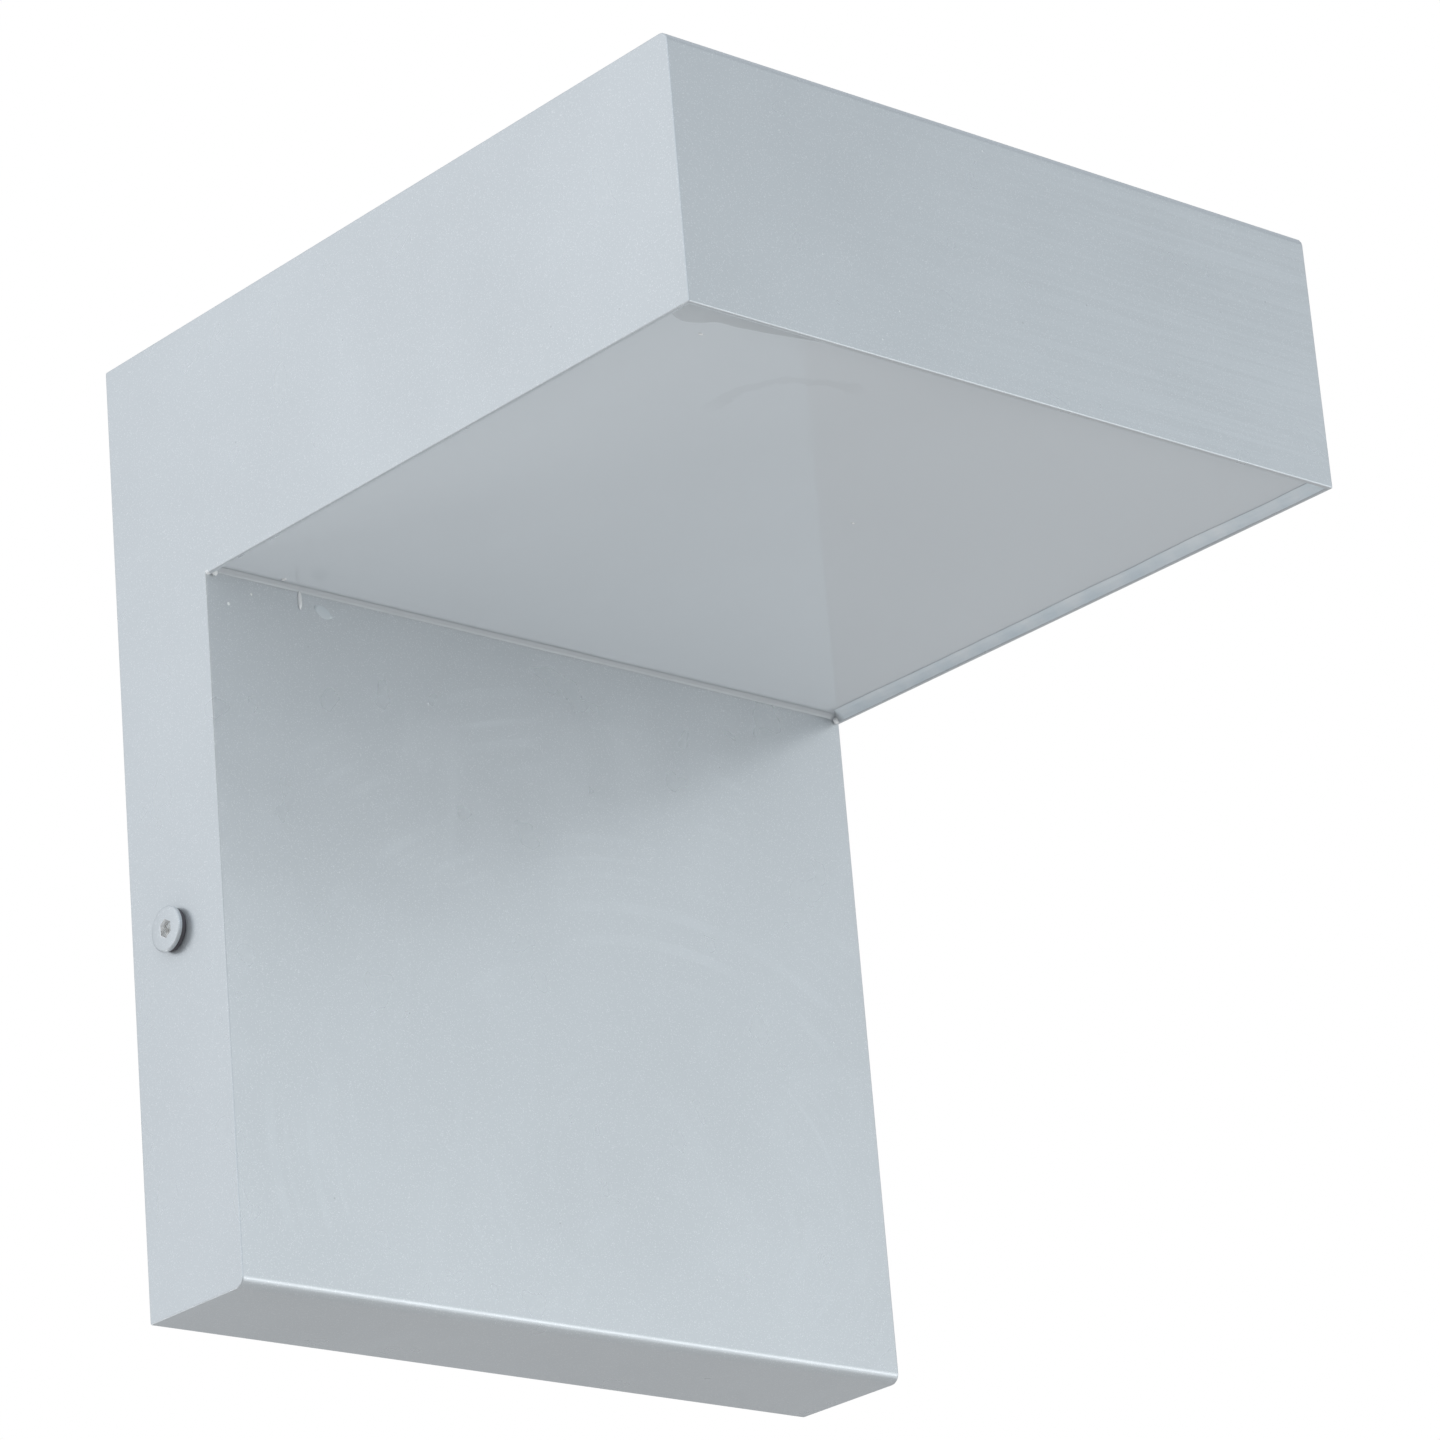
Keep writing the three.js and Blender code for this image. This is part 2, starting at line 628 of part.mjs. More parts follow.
function gearPlate() {
  const studHole = STUD_DIAMETER / 2 + FIT_GAP;
  const screwHole = SMALL_SCREW_DIAMETER / 2 + THREAD_GAP;
  const earthHole = STUD_DIAMETER / 2 + THREAD_GAP;
  const [clampX, clampZ] = [CLAMP_SIZE[0] / 2 - CLAMP_SCREW_INSET, clampMidZ];
  const holes = [
    ...gearStudX.map((x) => polygon(studHole, SMALL_SIDES, x, 0)),
    ...[-driverScrewX, driverScrewX].map((x) => polygon(screwHole, SMALL_SIDES, x, driverMidZ)),
    ...[CLAMP_X - clampX, CLAMP_X + clampX].map((x) => polygon(screwHole, SMALL_SIDES, x, clampZ)),
    polygon(earthHole, SMALL_SIDES, earthX, earthZ),
  ];
  const sheet = rectangle([-gearHalf, gearHalf], [gearBottom, gearTop], GEAR_PLATE_CORNER);
  return prismY(sheet, [gearFront, gearRear], holes);
}

function driverCase() {
  const [length, depth] = DRIVER_SIZE;
  const side = length / 2;
  const earTip = side + DRIVER_EAR;
  const body = prismY(
    rectangle([-side, side], [driverBottom, driverTop], DRIVER_CORNER),
    [gearSeat, gearSeat + depth],
  );
  const ears = prismY(
    rectangle([-earTip, earTip], [driverMidZ - DRIVER_EAR, driverMidZ + DRIVER_EAR], DRIVER_CORNER),
    [gearSeat, gearSeat + DRIVER_EAR_THICKNESS],
  );
  const screwHole = SMALL_SCREW_DIAMETER + 2 * FIT_GAP;
  const through = [gearSeat - CUT, gearSeat + DRIVER_EAR_THICKNESS + CUT];
  const screwHoles = [-driverScrewX, driverScrewX].map((x) =>
    rodY(screwHole, through, x, driverMidZ, SMALL_SIDES),
  );
  const mainsHole = MAINS_LEAD_DIAMETER + 2 * LEAD_GAP;
  const ledHole = LED_LEAD_DIAMETER + 2 * LEAD_GAP;
  const mainsHoles = driverLeadX(1).map((x) =>
    rodZ(mainsHole, [driverBottom - CUT, driverBottom + LEAD_HOLE_DEPTH], x, driverMidY, SMALL_SIDES),
  );
  const ledHoles = driverLeadX(-1).map((x) =>
    rodZ(ledHole, [driverTop - LEAD_HOLE_DEPTH, driverTop + CUT], x, driverMidY, SMALL_SIDES),
  );
  return cut(join(body, ears), ...screwHoles, ...mainsHoles, ...ledHoles);
}

// Where a pair of leads enters the driver: the mains pair on the right, the LED pair on the left.
function driverLeadX(side) {
  return [side * DRIVER_LEAD_X - LEAD_PITCH / 2, side * DRIVER_LEAD_X + LEAD_PITCH / 2];
}

const poles = Array.from({ length: TERMINAL_POLES }, (_, i) => i + 0.5);
const terminalX = poles.map((pole) => TERMINAL_X + pole * TERMINAL_PITCH);
const terminalRear = gearSeat + TERMINAL_DEPTH;

// Each pole has a hole from above for the inner lead, one from below for the mains cable's core, and a
// screw well in its face.
function terminalBlock() {
  const width = TERMINAL_POLES * TERMINAL_PITCH;
  const hole = MAINS_LEAD_DIAMETER + 2 * LEAD_GAP;
  const well = TERMINAL_SCREW_DIAMETER + 2 * FIT_GAP;
  const wellFloor = terminalRear - TERMINAL_DEPTH / 4;
  const midZ = (terminalBottom + terminalTop) / 2;
  const tools = terminalX.flatMap((x) => [
    rodZ(hole, [terminalTop - LEAD_HOLE_DEPTH, terminalTop + CUT], x, terminalMidY, SMALL_SIDES),
    rodZ(hole, [terminalBottom - CUT, terminalBottom + LEAD_HOLE_DEPTH], x, terminalMidY, SMALL_SIDES),
    rodY(well, [wellFloor, terminalRear + CUT], x, midZ, SMALL_SIDES),
  ]);
  const grooves = terminalX.slice(1).map((x) => {
    const between = x - TERMINAL_PITCH / 2;
    const half = DRIVER_SLOT_WIDTH / 2;
    return block(
      [between - half, between + half],
      [terminalRear - DRIVER_SLOT_WIDTH, terminalRear + CUT],
      [terminalBottom - CUT, terminalTop + CUT],
    );
  });
  const body = block(
    [TERMINAL_X, TERMINAL_X + width],
    [gearSeat, terminalRear],
    [terminalBottom, terminalTop],
  );
  return cut(body, ...tools, ...grooves);
}

// A slotted grub screw that fills the lower half of its well.
function terminalScrew() {
  const radius = TERMINAL_SCREW_DIAMETER / 2;
  const height = TERMINAL_DEPTH / 8;
  const half = DRIVER_SLOT_WIDTH / 2;
  const body = turned(
    [
      [0, 0],
      [radius, 0],
      [radius, height],
      [0, height],
    ],
    SMALL_SIDES,
  );
  const slotY = [height - DRIVER_SLOT_DEPTH, height + CUT];
  const recess = block([-radius - CUT, radius + CUT], slotY, [-half, half]);
  return cut(body, recess);
}

// A bridge over the mains cable, pulled down on it by a screw at each end.
function cordClamp() {
  const [width, depth, height] = CLAMP_SIZE;
  const x = [CLAMP_X - width / 2, CLAMP_X + width / 2];
  const z = [clampMidZ - height / 2, clampMidZ + height / 2];
  const screwHole = SMALL_SCREW_DIAMETER + 2 * FIT_GAP;
  const footTop = gearSeat + depth / 3;
  const bridge = prismZ(
    outline([
      [x[0], gearSeat],
      [x[1], gearSeat],
      [x[1], footTop],
      [x[1] - 2 * CLAMP_SCREW_INSET, footTop],
      [x[1] - 2 * CLAMP_SCREW_INSET, gearSeat + depth, DRIVER_CORNER],
      [x[0] + 2 * CLAMP_SCREW_INSET, gearSeat + depth, DRIVER_CORNER],
      [x[0] + 2 * CLAMP_SCREW_INSET, footTop],
      [x[0], footTop],
    ]),
    z,
  );
  return cut(
    bridge,
    rodZ(CLAMP_GROOVE, inset(z, -CUT), CLAMP_X, gearSeat + depth / 3),
    ...inset(x, CLAMP_SCREW_INSET).map((at) =>
      rodY(screwHole, [gearSeat - CUT, footTop + CUT], at, clampMidZ, SMALL_SIDES),
    ),
  );
}

// A ring lug with its barrel upwards, in which the earth lead ends.
const lugTop = earthZ + LUG_RING / 2 + LUG_LENGTH;
const lugBarrelY = gearSeat + LUG_BARREL / 2 + LEAD_GAP;

function earthLug() {
  const radius = LUG_RING / 2;
  const tongue = LUG_BARREL / 4;
  const barrelFoot = earthZ + radius + SEAT_GAP;
  const ring = prismY(polygon(radius, SIDES, earthX, earthZ), [gearSeat, gearSeat + LUG_THICKNESS]);
  const neck = block(
    [earthX - tongue, earthX + tongue],
    [gearSeat, gearSeat + LUG_THICKNESS],
    [earthZ, barrelFoot + LUG_BARREL / 2],
  );
  const barrelDiameter = MAINS_LEAD_DIAMETER + 2 * LEAD_GAP + 2 * LUG_THICKNESS;
  const barrel = rodZ(barrelDiameter, [barrelFoot, lugTop], earthX, lugBarrelY, SMALL_SIDES);
  const hole = MAINS_LEAD_DIAMETER + 2 * LEAD_GAP;
  const studHole = STUD_DIAMETER + 2 * FIT_GAP;
  const under = block(
    [earthX - LUG_RING, earthX + LUG_RING],
    [gearSeat - LUG_RING, gearSeat],
    [earthZ - LUG_RING, lugTop + CUT],
  );
  return cut(
    join(ring, neck, barrel),
    rodZ(hole, [lugTop - LEAD_HOLE_DEPTH, lugTop + CUT], earthX, lugBarrelY, SMALL_SIDES),
    rodY(studHole, [gearSeat - CUT, gearSeat + LUG_THICKNESS + CUT], earthX, earthZ, SMALL_SIDES),
    under,
  );
}

// ---------------------------------------------------------------------------------------------------
// Leads

const UP = [0, 0, 1];
const DOWN = [0, 0, -1];
const REARWARD = [0, 1, 0];

// The mains leads bow towards the bracket on their way up to the driver.
function mainsLead(pole, entry) {
  const from = terminalX[pole];
  const to = driverLeadX(1)[entry];
  const bow = middle([bracketFront, terminalMidY]);
  return lead(
    MAINS_LEAD_DIAMETER,
    { mouth: [from, terminalMidY, terminalTop], out: UP },
    [[middle([from, to]), bow, middle([terminalTop, driverBottom])]],
    { mouth: [to, driverMidY, driverBottom], out: DOWN },
  );
}

// The earth lead crosses low over the gear plate, between the cord clamp and the cable hole.
function earthWire() {
  const low = gearSeat + MAINS_LEAD_DIAMETER;
  const crossing = terminalTop + 2.5 * MAINS_LEAD_DIAMETER;
  return lead(
    MAINS_LEAD_DIAMETER,
    { mouth: [earthX, lugBarrelY, lugTop], out: UP },
    [
      [earthX + TERMINAL_PITCH, low, crossing],
      [CLAMP_X, low, crossing],
      [terminalX[0] - TERMINAL_PITCH, low, crossing],
    ],
    { mouth: [terminalX[0], terminalMidY, terminalTop], out: UP },
  );
}

// The LED leads rise behind the gear plate and the leg's lip, pass over both and turn forward under the
// tray.
function ledLead(entry) {
  const from = driverLeadX(-1)[entry];
  const to = ledLeadX[1 - entry];
  const crossing = Math.max(headUnderside + LEG_LIP, gearTop) + 3 * LED_LEAD_DIAMETER;
  return lead(
    LED_LEAD_DIAMETER,
    { mouth: [from, driverMidY, driverTop], out: UP },
    [
      [from, driverMidY, crossing - LED_LEAD_DIAMETER],
      [middle([from, to]), legFront + LED_LEAD_DIAMETER, Math.max(crossing, connectorLeadZ)],
    ],
    { mouth: [to, connectorRear, connectorLeadZ], out: REARWARD },
  );
}

// ---------------------------------------------------------------------------------------------------
// The wall bracket and its grommet

function wallBracket() {
  const half = earHalf - BEND_RADIUS;
  const spacing = [WALL_SLOT_SPACING_X / 2, WALL_SLOT_SPACING_Z / 2];
  const slots = [-1, 1].flatMap((x) =>
    [-1, 1].map((z) =>
      slot(x * spacing[0], z * spacing[1], WALL_SLOT_WIDTH, WALL_SLOT_LENGTH, z < 0),
    ),
  );
  const cableHole = polygon(CABLE_HOLE_DIAMETER / 2, SIDES, 0, -CABLE_HOLE_DROP);
  const plate = prismY(
    rectangle([-half, half], [-BRACKET_HEIGHT / 2, BRACKET_HEIGHT / 2], BRACKET_CORNER),
    [bracketFront, 0],
    [...slots, cableHole],
  );
  const innerBend = BEND_RADIUS - BRACKET_SHEET;
  const folded = outline([
    [-earHalf, earFront],
    [-earInner, earFront],
    [-earInner, bracketFront, innerBend],
    [-half + BEND_RADIUS, bracketFront],
    [-half + BEND_RADIUS, 0],
    [-earHalf, 0, BEND_RADIUS],
  ]);
  const mirrored = folded.map(({ x, y }) => new THREE.Vector2(-x, y)).reverse();
  const earZ = [-EAR_HEIGHT / 2, EAR_HEIGHT / 2];
  const ears = [folded, mirrored].map((points) => prismZ(points, earZ));
  const ribs = [-1, 1].flatMap((x) =>
    [-1, 1].map((z) => {
      const near = SQUARE_NUT_WIDTH / 2 + NUT_GAP;
      const face = earInner + BRACKET_SHEET / 2;
      return block(
        [x * face, x * (earInner - SQUARE_NUT_THICKNESS)].sort((a, b) => a - b),
        [earFront, earFront + NUT_RIB_LENGTH],
        [z * near, z * (near + NUT_RIB)].sort((a, b) => a - b),
      );
    }),
  );
  const slotWidth = SCREW_DIAMETER + 2 * SCREW_HOLE_GAP;
  const across = [-earHalf - CUT, earHalf + CUT];
  return cut(
    join(plate, ...ears, ...ribs),
    rodX(slotWidth, across, -SCREW_FROM_WALL, 0),
    block(across, [earFront - CUT, -SCREW_FROM_WALL], [-slotWidth / 2, slotWidth / 2]),
  );
}

// A push-in bush: a sleeve in the cable hole with a flange on the room side only.
function cableGrommet() {
  const bore = CABLE_BORE / 2;
  const sleeve = CABLE_HOLE_DIAMETER / 2 - FIT_GAP;
  const flange = CABLE_HOLE_DIAMETER / 2 + GROMMET_FLANGE;
  const rear = BRACKET_SHEET - FIT_GAP;
  return turned([
    [bore, -GROMMET_FLANGE_THICKNESS],
    [flange, -GROMMET_FLANGE_THICKNESS],
    [flange, -SEAT_GAP],
    [sleeve, -SEAT_GAP],
    [sleeve, rear],
    [bore, rear],
    [bore, -GROMMET_FLANGE_THICKNESS],
  ]);
}

// ---------------------------------------------------------------------------------------------------
// Side fixings, each along Y with the outside of the lantern at +Y and the cheek's outer face at y = 0

function sideScrew() {
  const shank = SCREW_DIAMETER / 2;
  const head = SCREW_HEAD_DIAMETER / 2;
  const rounding = Array.from({ length: ARC_STEPS + 1 }, (_, step) => {
    const angle = (step / ARC_STEPS) * (Math.PI / 2);
    return [
      head - SCREW_HEAD_ROUNDING * (1 - Math.cos(angle)),
      SCREW_HEAD_HEIGHT - SCREW_HEAD_ROUNDING * (1 - Math.sin(angle)),
    ];
  });
  const body = turned([
    [0, -SCREW_LENGTH],
    [shank - SCREW_POINT, -SCREW_LENGTH],
    [shank, SCREW_POINT - SCREW_LENGTH],
    [shank, 0],
    [head, 0],
    ...rounding,
    [0, SCREW_HEAD_HEIGHT],
  ]);
  const socketDepth = [SCREW_HEAD_HEIGHT - SOCKET_DEPTH, SCREW_HEAD_HEIGHT + CUT];
  const socket = rodY((2 * SOCKET_WIDTH) / Math.sqrt(3), socketDepth, 0, 0, 6);
  return cut(body, socket);
}

function sideWasher() {
  const inner = SCREW_DIAMETER / 2 + SCREW_HOLE_GAP;
  const outer = WASHER_DIAMETER / 2;
  return turned([
    [inner, 0],
    [outer, 0],
    [outer, WASHER_THICKNESS],
    [inner, WASHER_THICKNESS],
    [inner, 0],
  ]);
}

function squareNut() {
  const half = [-SQUARE_NUT_WIDTH / 2, SQUARE_NUT_WIDTH / 2];
  const thread = polygon(SCREW_DIAMETER / 2 + THREAD_GAP, SIDES);
  return prismY(rectangle(half, half), [-SQUARE_NUT_THICKNESS, 0], [thread]);
}

// ---------------------------------------------------------------------------------------------------
// Assembly

const lantern = new THREE.Group();

function place(parent, name, geometry, material, position = [0, 0, 0], rotation = [0, 0, 0]) {
  const mesh = new THREE.Mesh(geometry, material);
  mesh.name = name;
  mesh.position.set(...position);
  mesh.rotation.set(...rotation);
  parent.add(mesh);
}

const POINT_UP = [Math.PI / 2, 0, 0]; // turns a piece made along Y so that its top points up
const POINT_DOWN = [-Math.PI / 2, 0, 0];

place(lantern, "wall_bracket", wallBracket(), zincPlate);
place(lantern, "cable_grommet", cableGrommet(), blackRubber, [0, bracketFront, -CABLE_HOLE_DROP]);

place(lantern, "casing", casing(), silverPaint);
place(lantern, "diffuser_panel", diffuserPanel(), opal);
place(lantern, "silicone_bead", siliconeBead(), silicone);
place(lantern, "panel_frame", panelFrame(), zincPlate);
place(lantern, "reflector", reflector(), whiteSheet);

place(lantern, "led_tray", ledTray(), aluminium);
grid(trayStudX, trayStudY).forEach(([x, y], i) => {
  const spacerFoot = [x, y, trayTop + SEAT_GAP];
  const nutSeat = [x, y, trayBottom - SEAT_GAP];
  place(lantern, `tray_spacer_${i + 1}`, traySpacer(), aluminium, spacerFoot, POINT_UP);
  place(lantern, `tray_nut_${i + 1}`, hexNut(), zincPlate, nutSeat, POINT_DOWN);
});
place(lantern, "led_board", ledBoard(), boardWhite);
const boardScrew = smallScrew(BOARD_THICKNESS, TRAY_SHEET);
grid(boardScrewX, boardScrewY).forEach(([x, y], i) => {
  place(lantern, `board_screw_${i + 1}`, boardScrew, zincPlate, [x, y, boardBottom - SEAT_GAP], POINT_DOWN);
});
ledPlaces().forEach(([x, y], i) => {
  place(lantern, `led_${i + 1}`, led(), ledYellow, [x, y, boardBottom - SEAT_GAP]);
});
place(lantern, "led_connector", ledConnector(), whitePlastic);

place(lantern, "gear_plate", gearPlate(), zincPlate);
const clampFoot = CLAMP_SIZE[1] / 3;
const driverScrew = smallScrew(DRIVER_EAR_THICKNESS, GEAR_PLATE_SHEET);
const clampScrew = smallScrew(clampFoot, GEAR_PLATE_SHEET);
["left", "right"].forEach((side, i) => {
  const sign = 2 * i - 1;
  const driverScrewSeat = [sign * driverScrewX, gearSeat + DRIVER_EAR_THICKNESS + SEAT_GAP, driverMidZ];
  const clampReach = CLAMP_SIZE[0] / 2 - CLAMP_SCREW_INSET;
  const clampSeat = [CLAMP_X + sign * clampReach, gearSeat + clampFoot + SEAT_GAP, clampMidZ];
  place(lantern, `gear_nut_${side}`, hexNut(), zincPlate, [gearStudX[i], gearSeat, 0]);
  place(lantern, `driver_screw_${side}`, driverScrew, zincPlate, driverScrewSeat);
  place(lantern, `clamp_screw_${side}`, clampScrew, zincPlate, clampSeat);
});
place(lantern, "driver", driverCase(), whitePlastic);
place(lantern, "terminal_block", terminalBlock(), naturalNylon);
terminalX.forEach((x, i) => {
  const wellFloor = terminalRear - TERMINAL_DEPTH / 4 + SEAT_GAP;
  const seat = [x, wellFloor, (terminalBottom + terminalTop) / 2];
  place(lantern, `terminal_screw_${i + 1}`, terminalScrew(), zincPlate, seat);
});
place(lantern, "cord_clamp", cordClamp(), naturalNylon);
place(lantern, "earth_lug", earthLug(), tinned);
place(
  lantern,
  "earth_screw",
  panScrew(STUD_DIAMETER, LUG_THICKNESS + GEAR_PLATE_SHEET + SCREW_END, LUG_RING, SMALL_HEAD_HEIGHT),
  zincPlate,
  [earthX, gearSeat + LUG_THICKNESS + SEAT_GAP, earthZ],
);

place(lantern, "earth_wire", earthWire(), greenSleeve);
place(lantern, "live_wire", mainsLead(1, 0), brownSleeve);
place(lantern, "neutral_wire", mainsLead(2, 1), blueSleeve);
place(lantern, "led_plus_wire", ledLead(1), redSleeve);
place(lantern, "led_minus_wire", ledLead(0), blackSleeve);

["left", "right"].forEach((side, i) => {
  const outward = new THREE.Group();
  outward.position.set(0, -SCREW_FROM_WALL, 0);
  outward.rotation.z = (0.5 - i) * Math.PI;
  lantern.add(outward);
  const washerSeat = CASING_WIDTH / 2 + SEAT_GAP;
  const headSeat = washerSeat + WASHER_THICKNESS + SEAT_GAP;
  place(outward, `washer_${side}`, sideWasher(), blackRubber, [0, washerSeat, 0]);
  place(outward, `screw_${side}`, sideScrew(), silverPaint, [0, headSeat, 0]);
  place(outward, `nut_${side}`, squareNut(), zincPlate, [0, earInner - FIT_GAP, 0]);
});

export default lantern;
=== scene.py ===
"""An outdoor wall lantern in satin silver-grey powder coat, seen from below on a plain pale ground.

Metres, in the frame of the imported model: X to the right, Y into the wall, Z up, with the origin on the
wall bracket's rear face between the two side screws.
"""

import json
import math

import bmesh
import bpy
from mathutils import Matrix, Vector, noise

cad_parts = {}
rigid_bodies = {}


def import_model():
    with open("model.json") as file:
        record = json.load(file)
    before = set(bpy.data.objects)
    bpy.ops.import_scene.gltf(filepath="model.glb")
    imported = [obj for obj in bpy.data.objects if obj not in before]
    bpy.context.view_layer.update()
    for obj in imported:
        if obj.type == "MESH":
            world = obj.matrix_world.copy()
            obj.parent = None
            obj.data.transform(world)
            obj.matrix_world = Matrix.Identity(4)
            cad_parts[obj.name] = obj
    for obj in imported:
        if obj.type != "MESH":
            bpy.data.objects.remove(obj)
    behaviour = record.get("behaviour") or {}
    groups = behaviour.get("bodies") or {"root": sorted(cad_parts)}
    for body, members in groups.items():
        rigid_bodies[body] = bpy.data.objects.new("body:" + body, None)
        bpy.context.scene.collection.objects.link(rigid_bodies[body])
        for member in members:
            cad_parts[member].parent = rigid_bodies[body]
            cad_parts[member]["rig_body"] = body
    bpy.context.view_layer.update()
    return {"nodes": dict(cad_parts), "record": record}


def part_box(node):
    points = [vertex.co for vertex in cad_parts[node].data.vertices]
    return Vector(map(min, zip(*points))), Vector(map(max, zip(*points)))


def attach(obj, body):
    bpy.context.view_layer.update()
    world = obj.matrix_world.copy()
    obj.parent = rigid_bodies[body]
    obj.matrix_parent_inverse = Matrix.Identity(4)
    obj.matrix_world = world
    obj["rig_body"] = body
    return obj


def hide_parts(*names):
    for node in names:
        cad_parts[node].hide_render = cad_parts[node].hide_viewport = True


MM = 0.001
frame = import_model()

# ---------------------------------------------------------------------------------------------------
# Places and sizes that the pieces share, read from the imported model

CASING_LOW, CASING_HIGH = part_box("casing")
PANEL_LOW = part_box("diffuser_panel")[0]
BEAD_LOW, BEAD_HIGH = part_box("silicone_bead")
LEG_FRONT = BEAD_HIGH.y + 0.05 * MM  # the plane of the leg's front, which the bead's rear run lies on
HEAD_UNDERSIDE = BEAD_LOW.z - 0.05 * MM
EDGE_ROUNDING = 0.3 * MM  # what paint and handling leave of a sheet edge


# ---------------------------------------------------------------------------------------------------
# Camera, light and ground

CAMERA_PLACE = (-0.72823, -0.87536, -0.37631)
CAMERA_AZIMUTH = 42.48  # degrees, from +Y towards +X
CAMERA_ELEVATION = 20.84  # degrees, looking up
CAMERA_ROLL = -4.83
CAMERA_LENS = 153.3  # millimetres, on a sensor 36 wide
GROUND_HEIGHT = -1.1
GROUND_HALF_WIDTH = 4.0


def make_camera():
    data = bpy.data.cameras.new("camera")
    data.lens = CAMERA_LENS
    data.sensor_width = 36
    data.clip_start = 0.01
    camera = bpy.data.objects.new("camera", data)
    bpy.context.scene.collection.objects.link(camera)
    turn = Matrix.Rotation(math.radians(-CAMERA_AZIMUTH), 4, "Z")
    tilt = Matrix.Rotation(math.radians(90 + CAMERA_ELEVATION), 4, "X")
    roll = Matrix.Rotation(math.radians(CAMERA_ROLL), 4, "Z")
    camera.matrix_world = Matrix.Translation(CAMERA_PLACE) @ turn @ tilt @ roll
    bpy.context.scene.camera = camera


def make_softbox(name, place, side, power, colour):
    """A square soft light at place that faces the origin. power is in watts."""
    data = bpy.data.lights.new(name, "AREA")
    data.shape = "SQUARE"
    data.size = side
    data.energy = power
    data.color = colour
    light = bpy.data.objects.new(name, data)
    bpy.context.scene.collection.objects.link(light)
    aim = (-Vector(place)).to_track_quat("-Z", "Y")
    light.matrix_world = Matrix.Translation(place) @ aim.to_matrix().to_4x4()
    light.visible_camera = False


# The studio's soft light: what comes from every side, and wide glows round a few directions
GROUND_GLOW = (0.41, 0.43, 0.445)
SKY_GLOW = (0.16, 0.20, 0.23)
GLOWS = (
    # direction, how narrow it is, colour
    ((-0.82, 0.50, 0.25), 4, (0.96, 0.96, 0.97)),
    ((-0.70, -0.65, 0.35), 6, (0.87, 0.93, 0.98)),
    ((0.60, -0.75, -0.25), 6, (1.57, 1.60, 1.61)),
    ((0.60, -0.78, 0.12), 30, (0.22, 0.22, 0.22)),
    ((0.0, 0.0, 1.0), 2, (0.63, 0.62, 0.64)),
)


def make_world():
    """White to the camera, and the studio's soft light to every surface."""
    world = bpy.data.worlds.new("studio")
    bpy.context.scene.world = world
    world.use_nodes = True
    tree = world.node_tree
    tree.nodes.clear()

    def node(kind, values, **settings):
        made = tree.nodes.new(kind)
        for name, value in settings.items():
            setattr(made, name, value)
        for socket, value in values.items():
            if isinstance(value, bpy.types.NodeSocket):
                tree.links.new(value, made.inputs[socket])
            else:
                made.inputs[socket].default_value = value
        return made

    direction = node("ShaderNodeTexCoord", {}).outputs["Generated"]
    height = node("ShaderNodeSeparateXYZ", {0: direction}).outputs["Z"]
    share = node("ShaderNodeMapRange", {"Value": height, "From Min": -0.3, "From Max": 0.3}).outputs[0]
    mixed = {0: share, 6: (*GROUND_GLOW, 1), 7: (*SKY_GLOW, 1)}
    light = node("ShaderNodeMix", mixed, data_type="RGBA").outputs[2]
    for axis, narrowness, colour in GLOWS:
        unit = Vector(axis).normalized()
        towards = node("ShaderNodeVectorMath", {0: direction, 1: unit}, operation="DOT_PRODUCT")
        kept = node("ShaderNodeMath", {0: towards.outputs["Value"], 1: 0.0}, operation="MAXIMUM").outputs[0]
        glow = node("ShaderNodeMath", {0: kept, 1: narrowness}, operation="POWER").outputs[0]
        tinted = node("ShaderNodeVectorMath", {0: colour, "Scale": glow}, operation="SCALE").outputs[0]
        light = node("ShaderNodeVectorMath", {0: light, 1: tinted}, operation="ADD").outputs[0]
    lit = node("ShaderNodeBackground", {"Color": light}).outputs[0]
    shown = node("ShaderNodeBackground", {"Color": (1, 1, 1, 1)}).outputs[0]
    to_camera = node("ShaderNodeLightPath", {}).outputs["Is Camera Ray"]
    chosen = node("ShaderNodeMixShader", {0: to_camera, 1: lit, 2: shown}).outputs[0]
    node("ShaderNodeOutputWorld", {"Surface": chosen})


# ---------------------------------------------------------------------------------------------------
# Materials

# Every size and place in a material is in millimetres
PAINT = (0.62, 0.65, 0.67)
DUST_COLOUR = (0.88, 0.90, 0.92)
FLAKE_COLOUR = (0.86, 0.88, 0.90)
FLAKE_SIZE = 0.16
FLAKE_SHARE = 0.12  # of the surface
PEEL_DEPTH = 0.006
GRAIN_DEPTH = 0.005
NIB_HEIGHT = 0.05
PIT_OFFSET = (5, 3, 8)  # keeps the painted shade of the pits off the nibs
WIPE_CENTRE = (25, 0, -40)  # of the arcs that a cloth left on the leg
WIPE_STRETCH = (1, 0, 1.25)  # what makes those arcs flatter than circles
WIPE_RINGS = 0.22  # of them in a millimetre
OPAL = (0.745, 0.785, 0.815)
PANEL_ARC_CENTRE = (-30, -138, 0)  # of the arc that a cloth left on the panel
PANEL_ARC_RADIUS = 15
PANEL_ARC_UNEVENNESS = 6.0


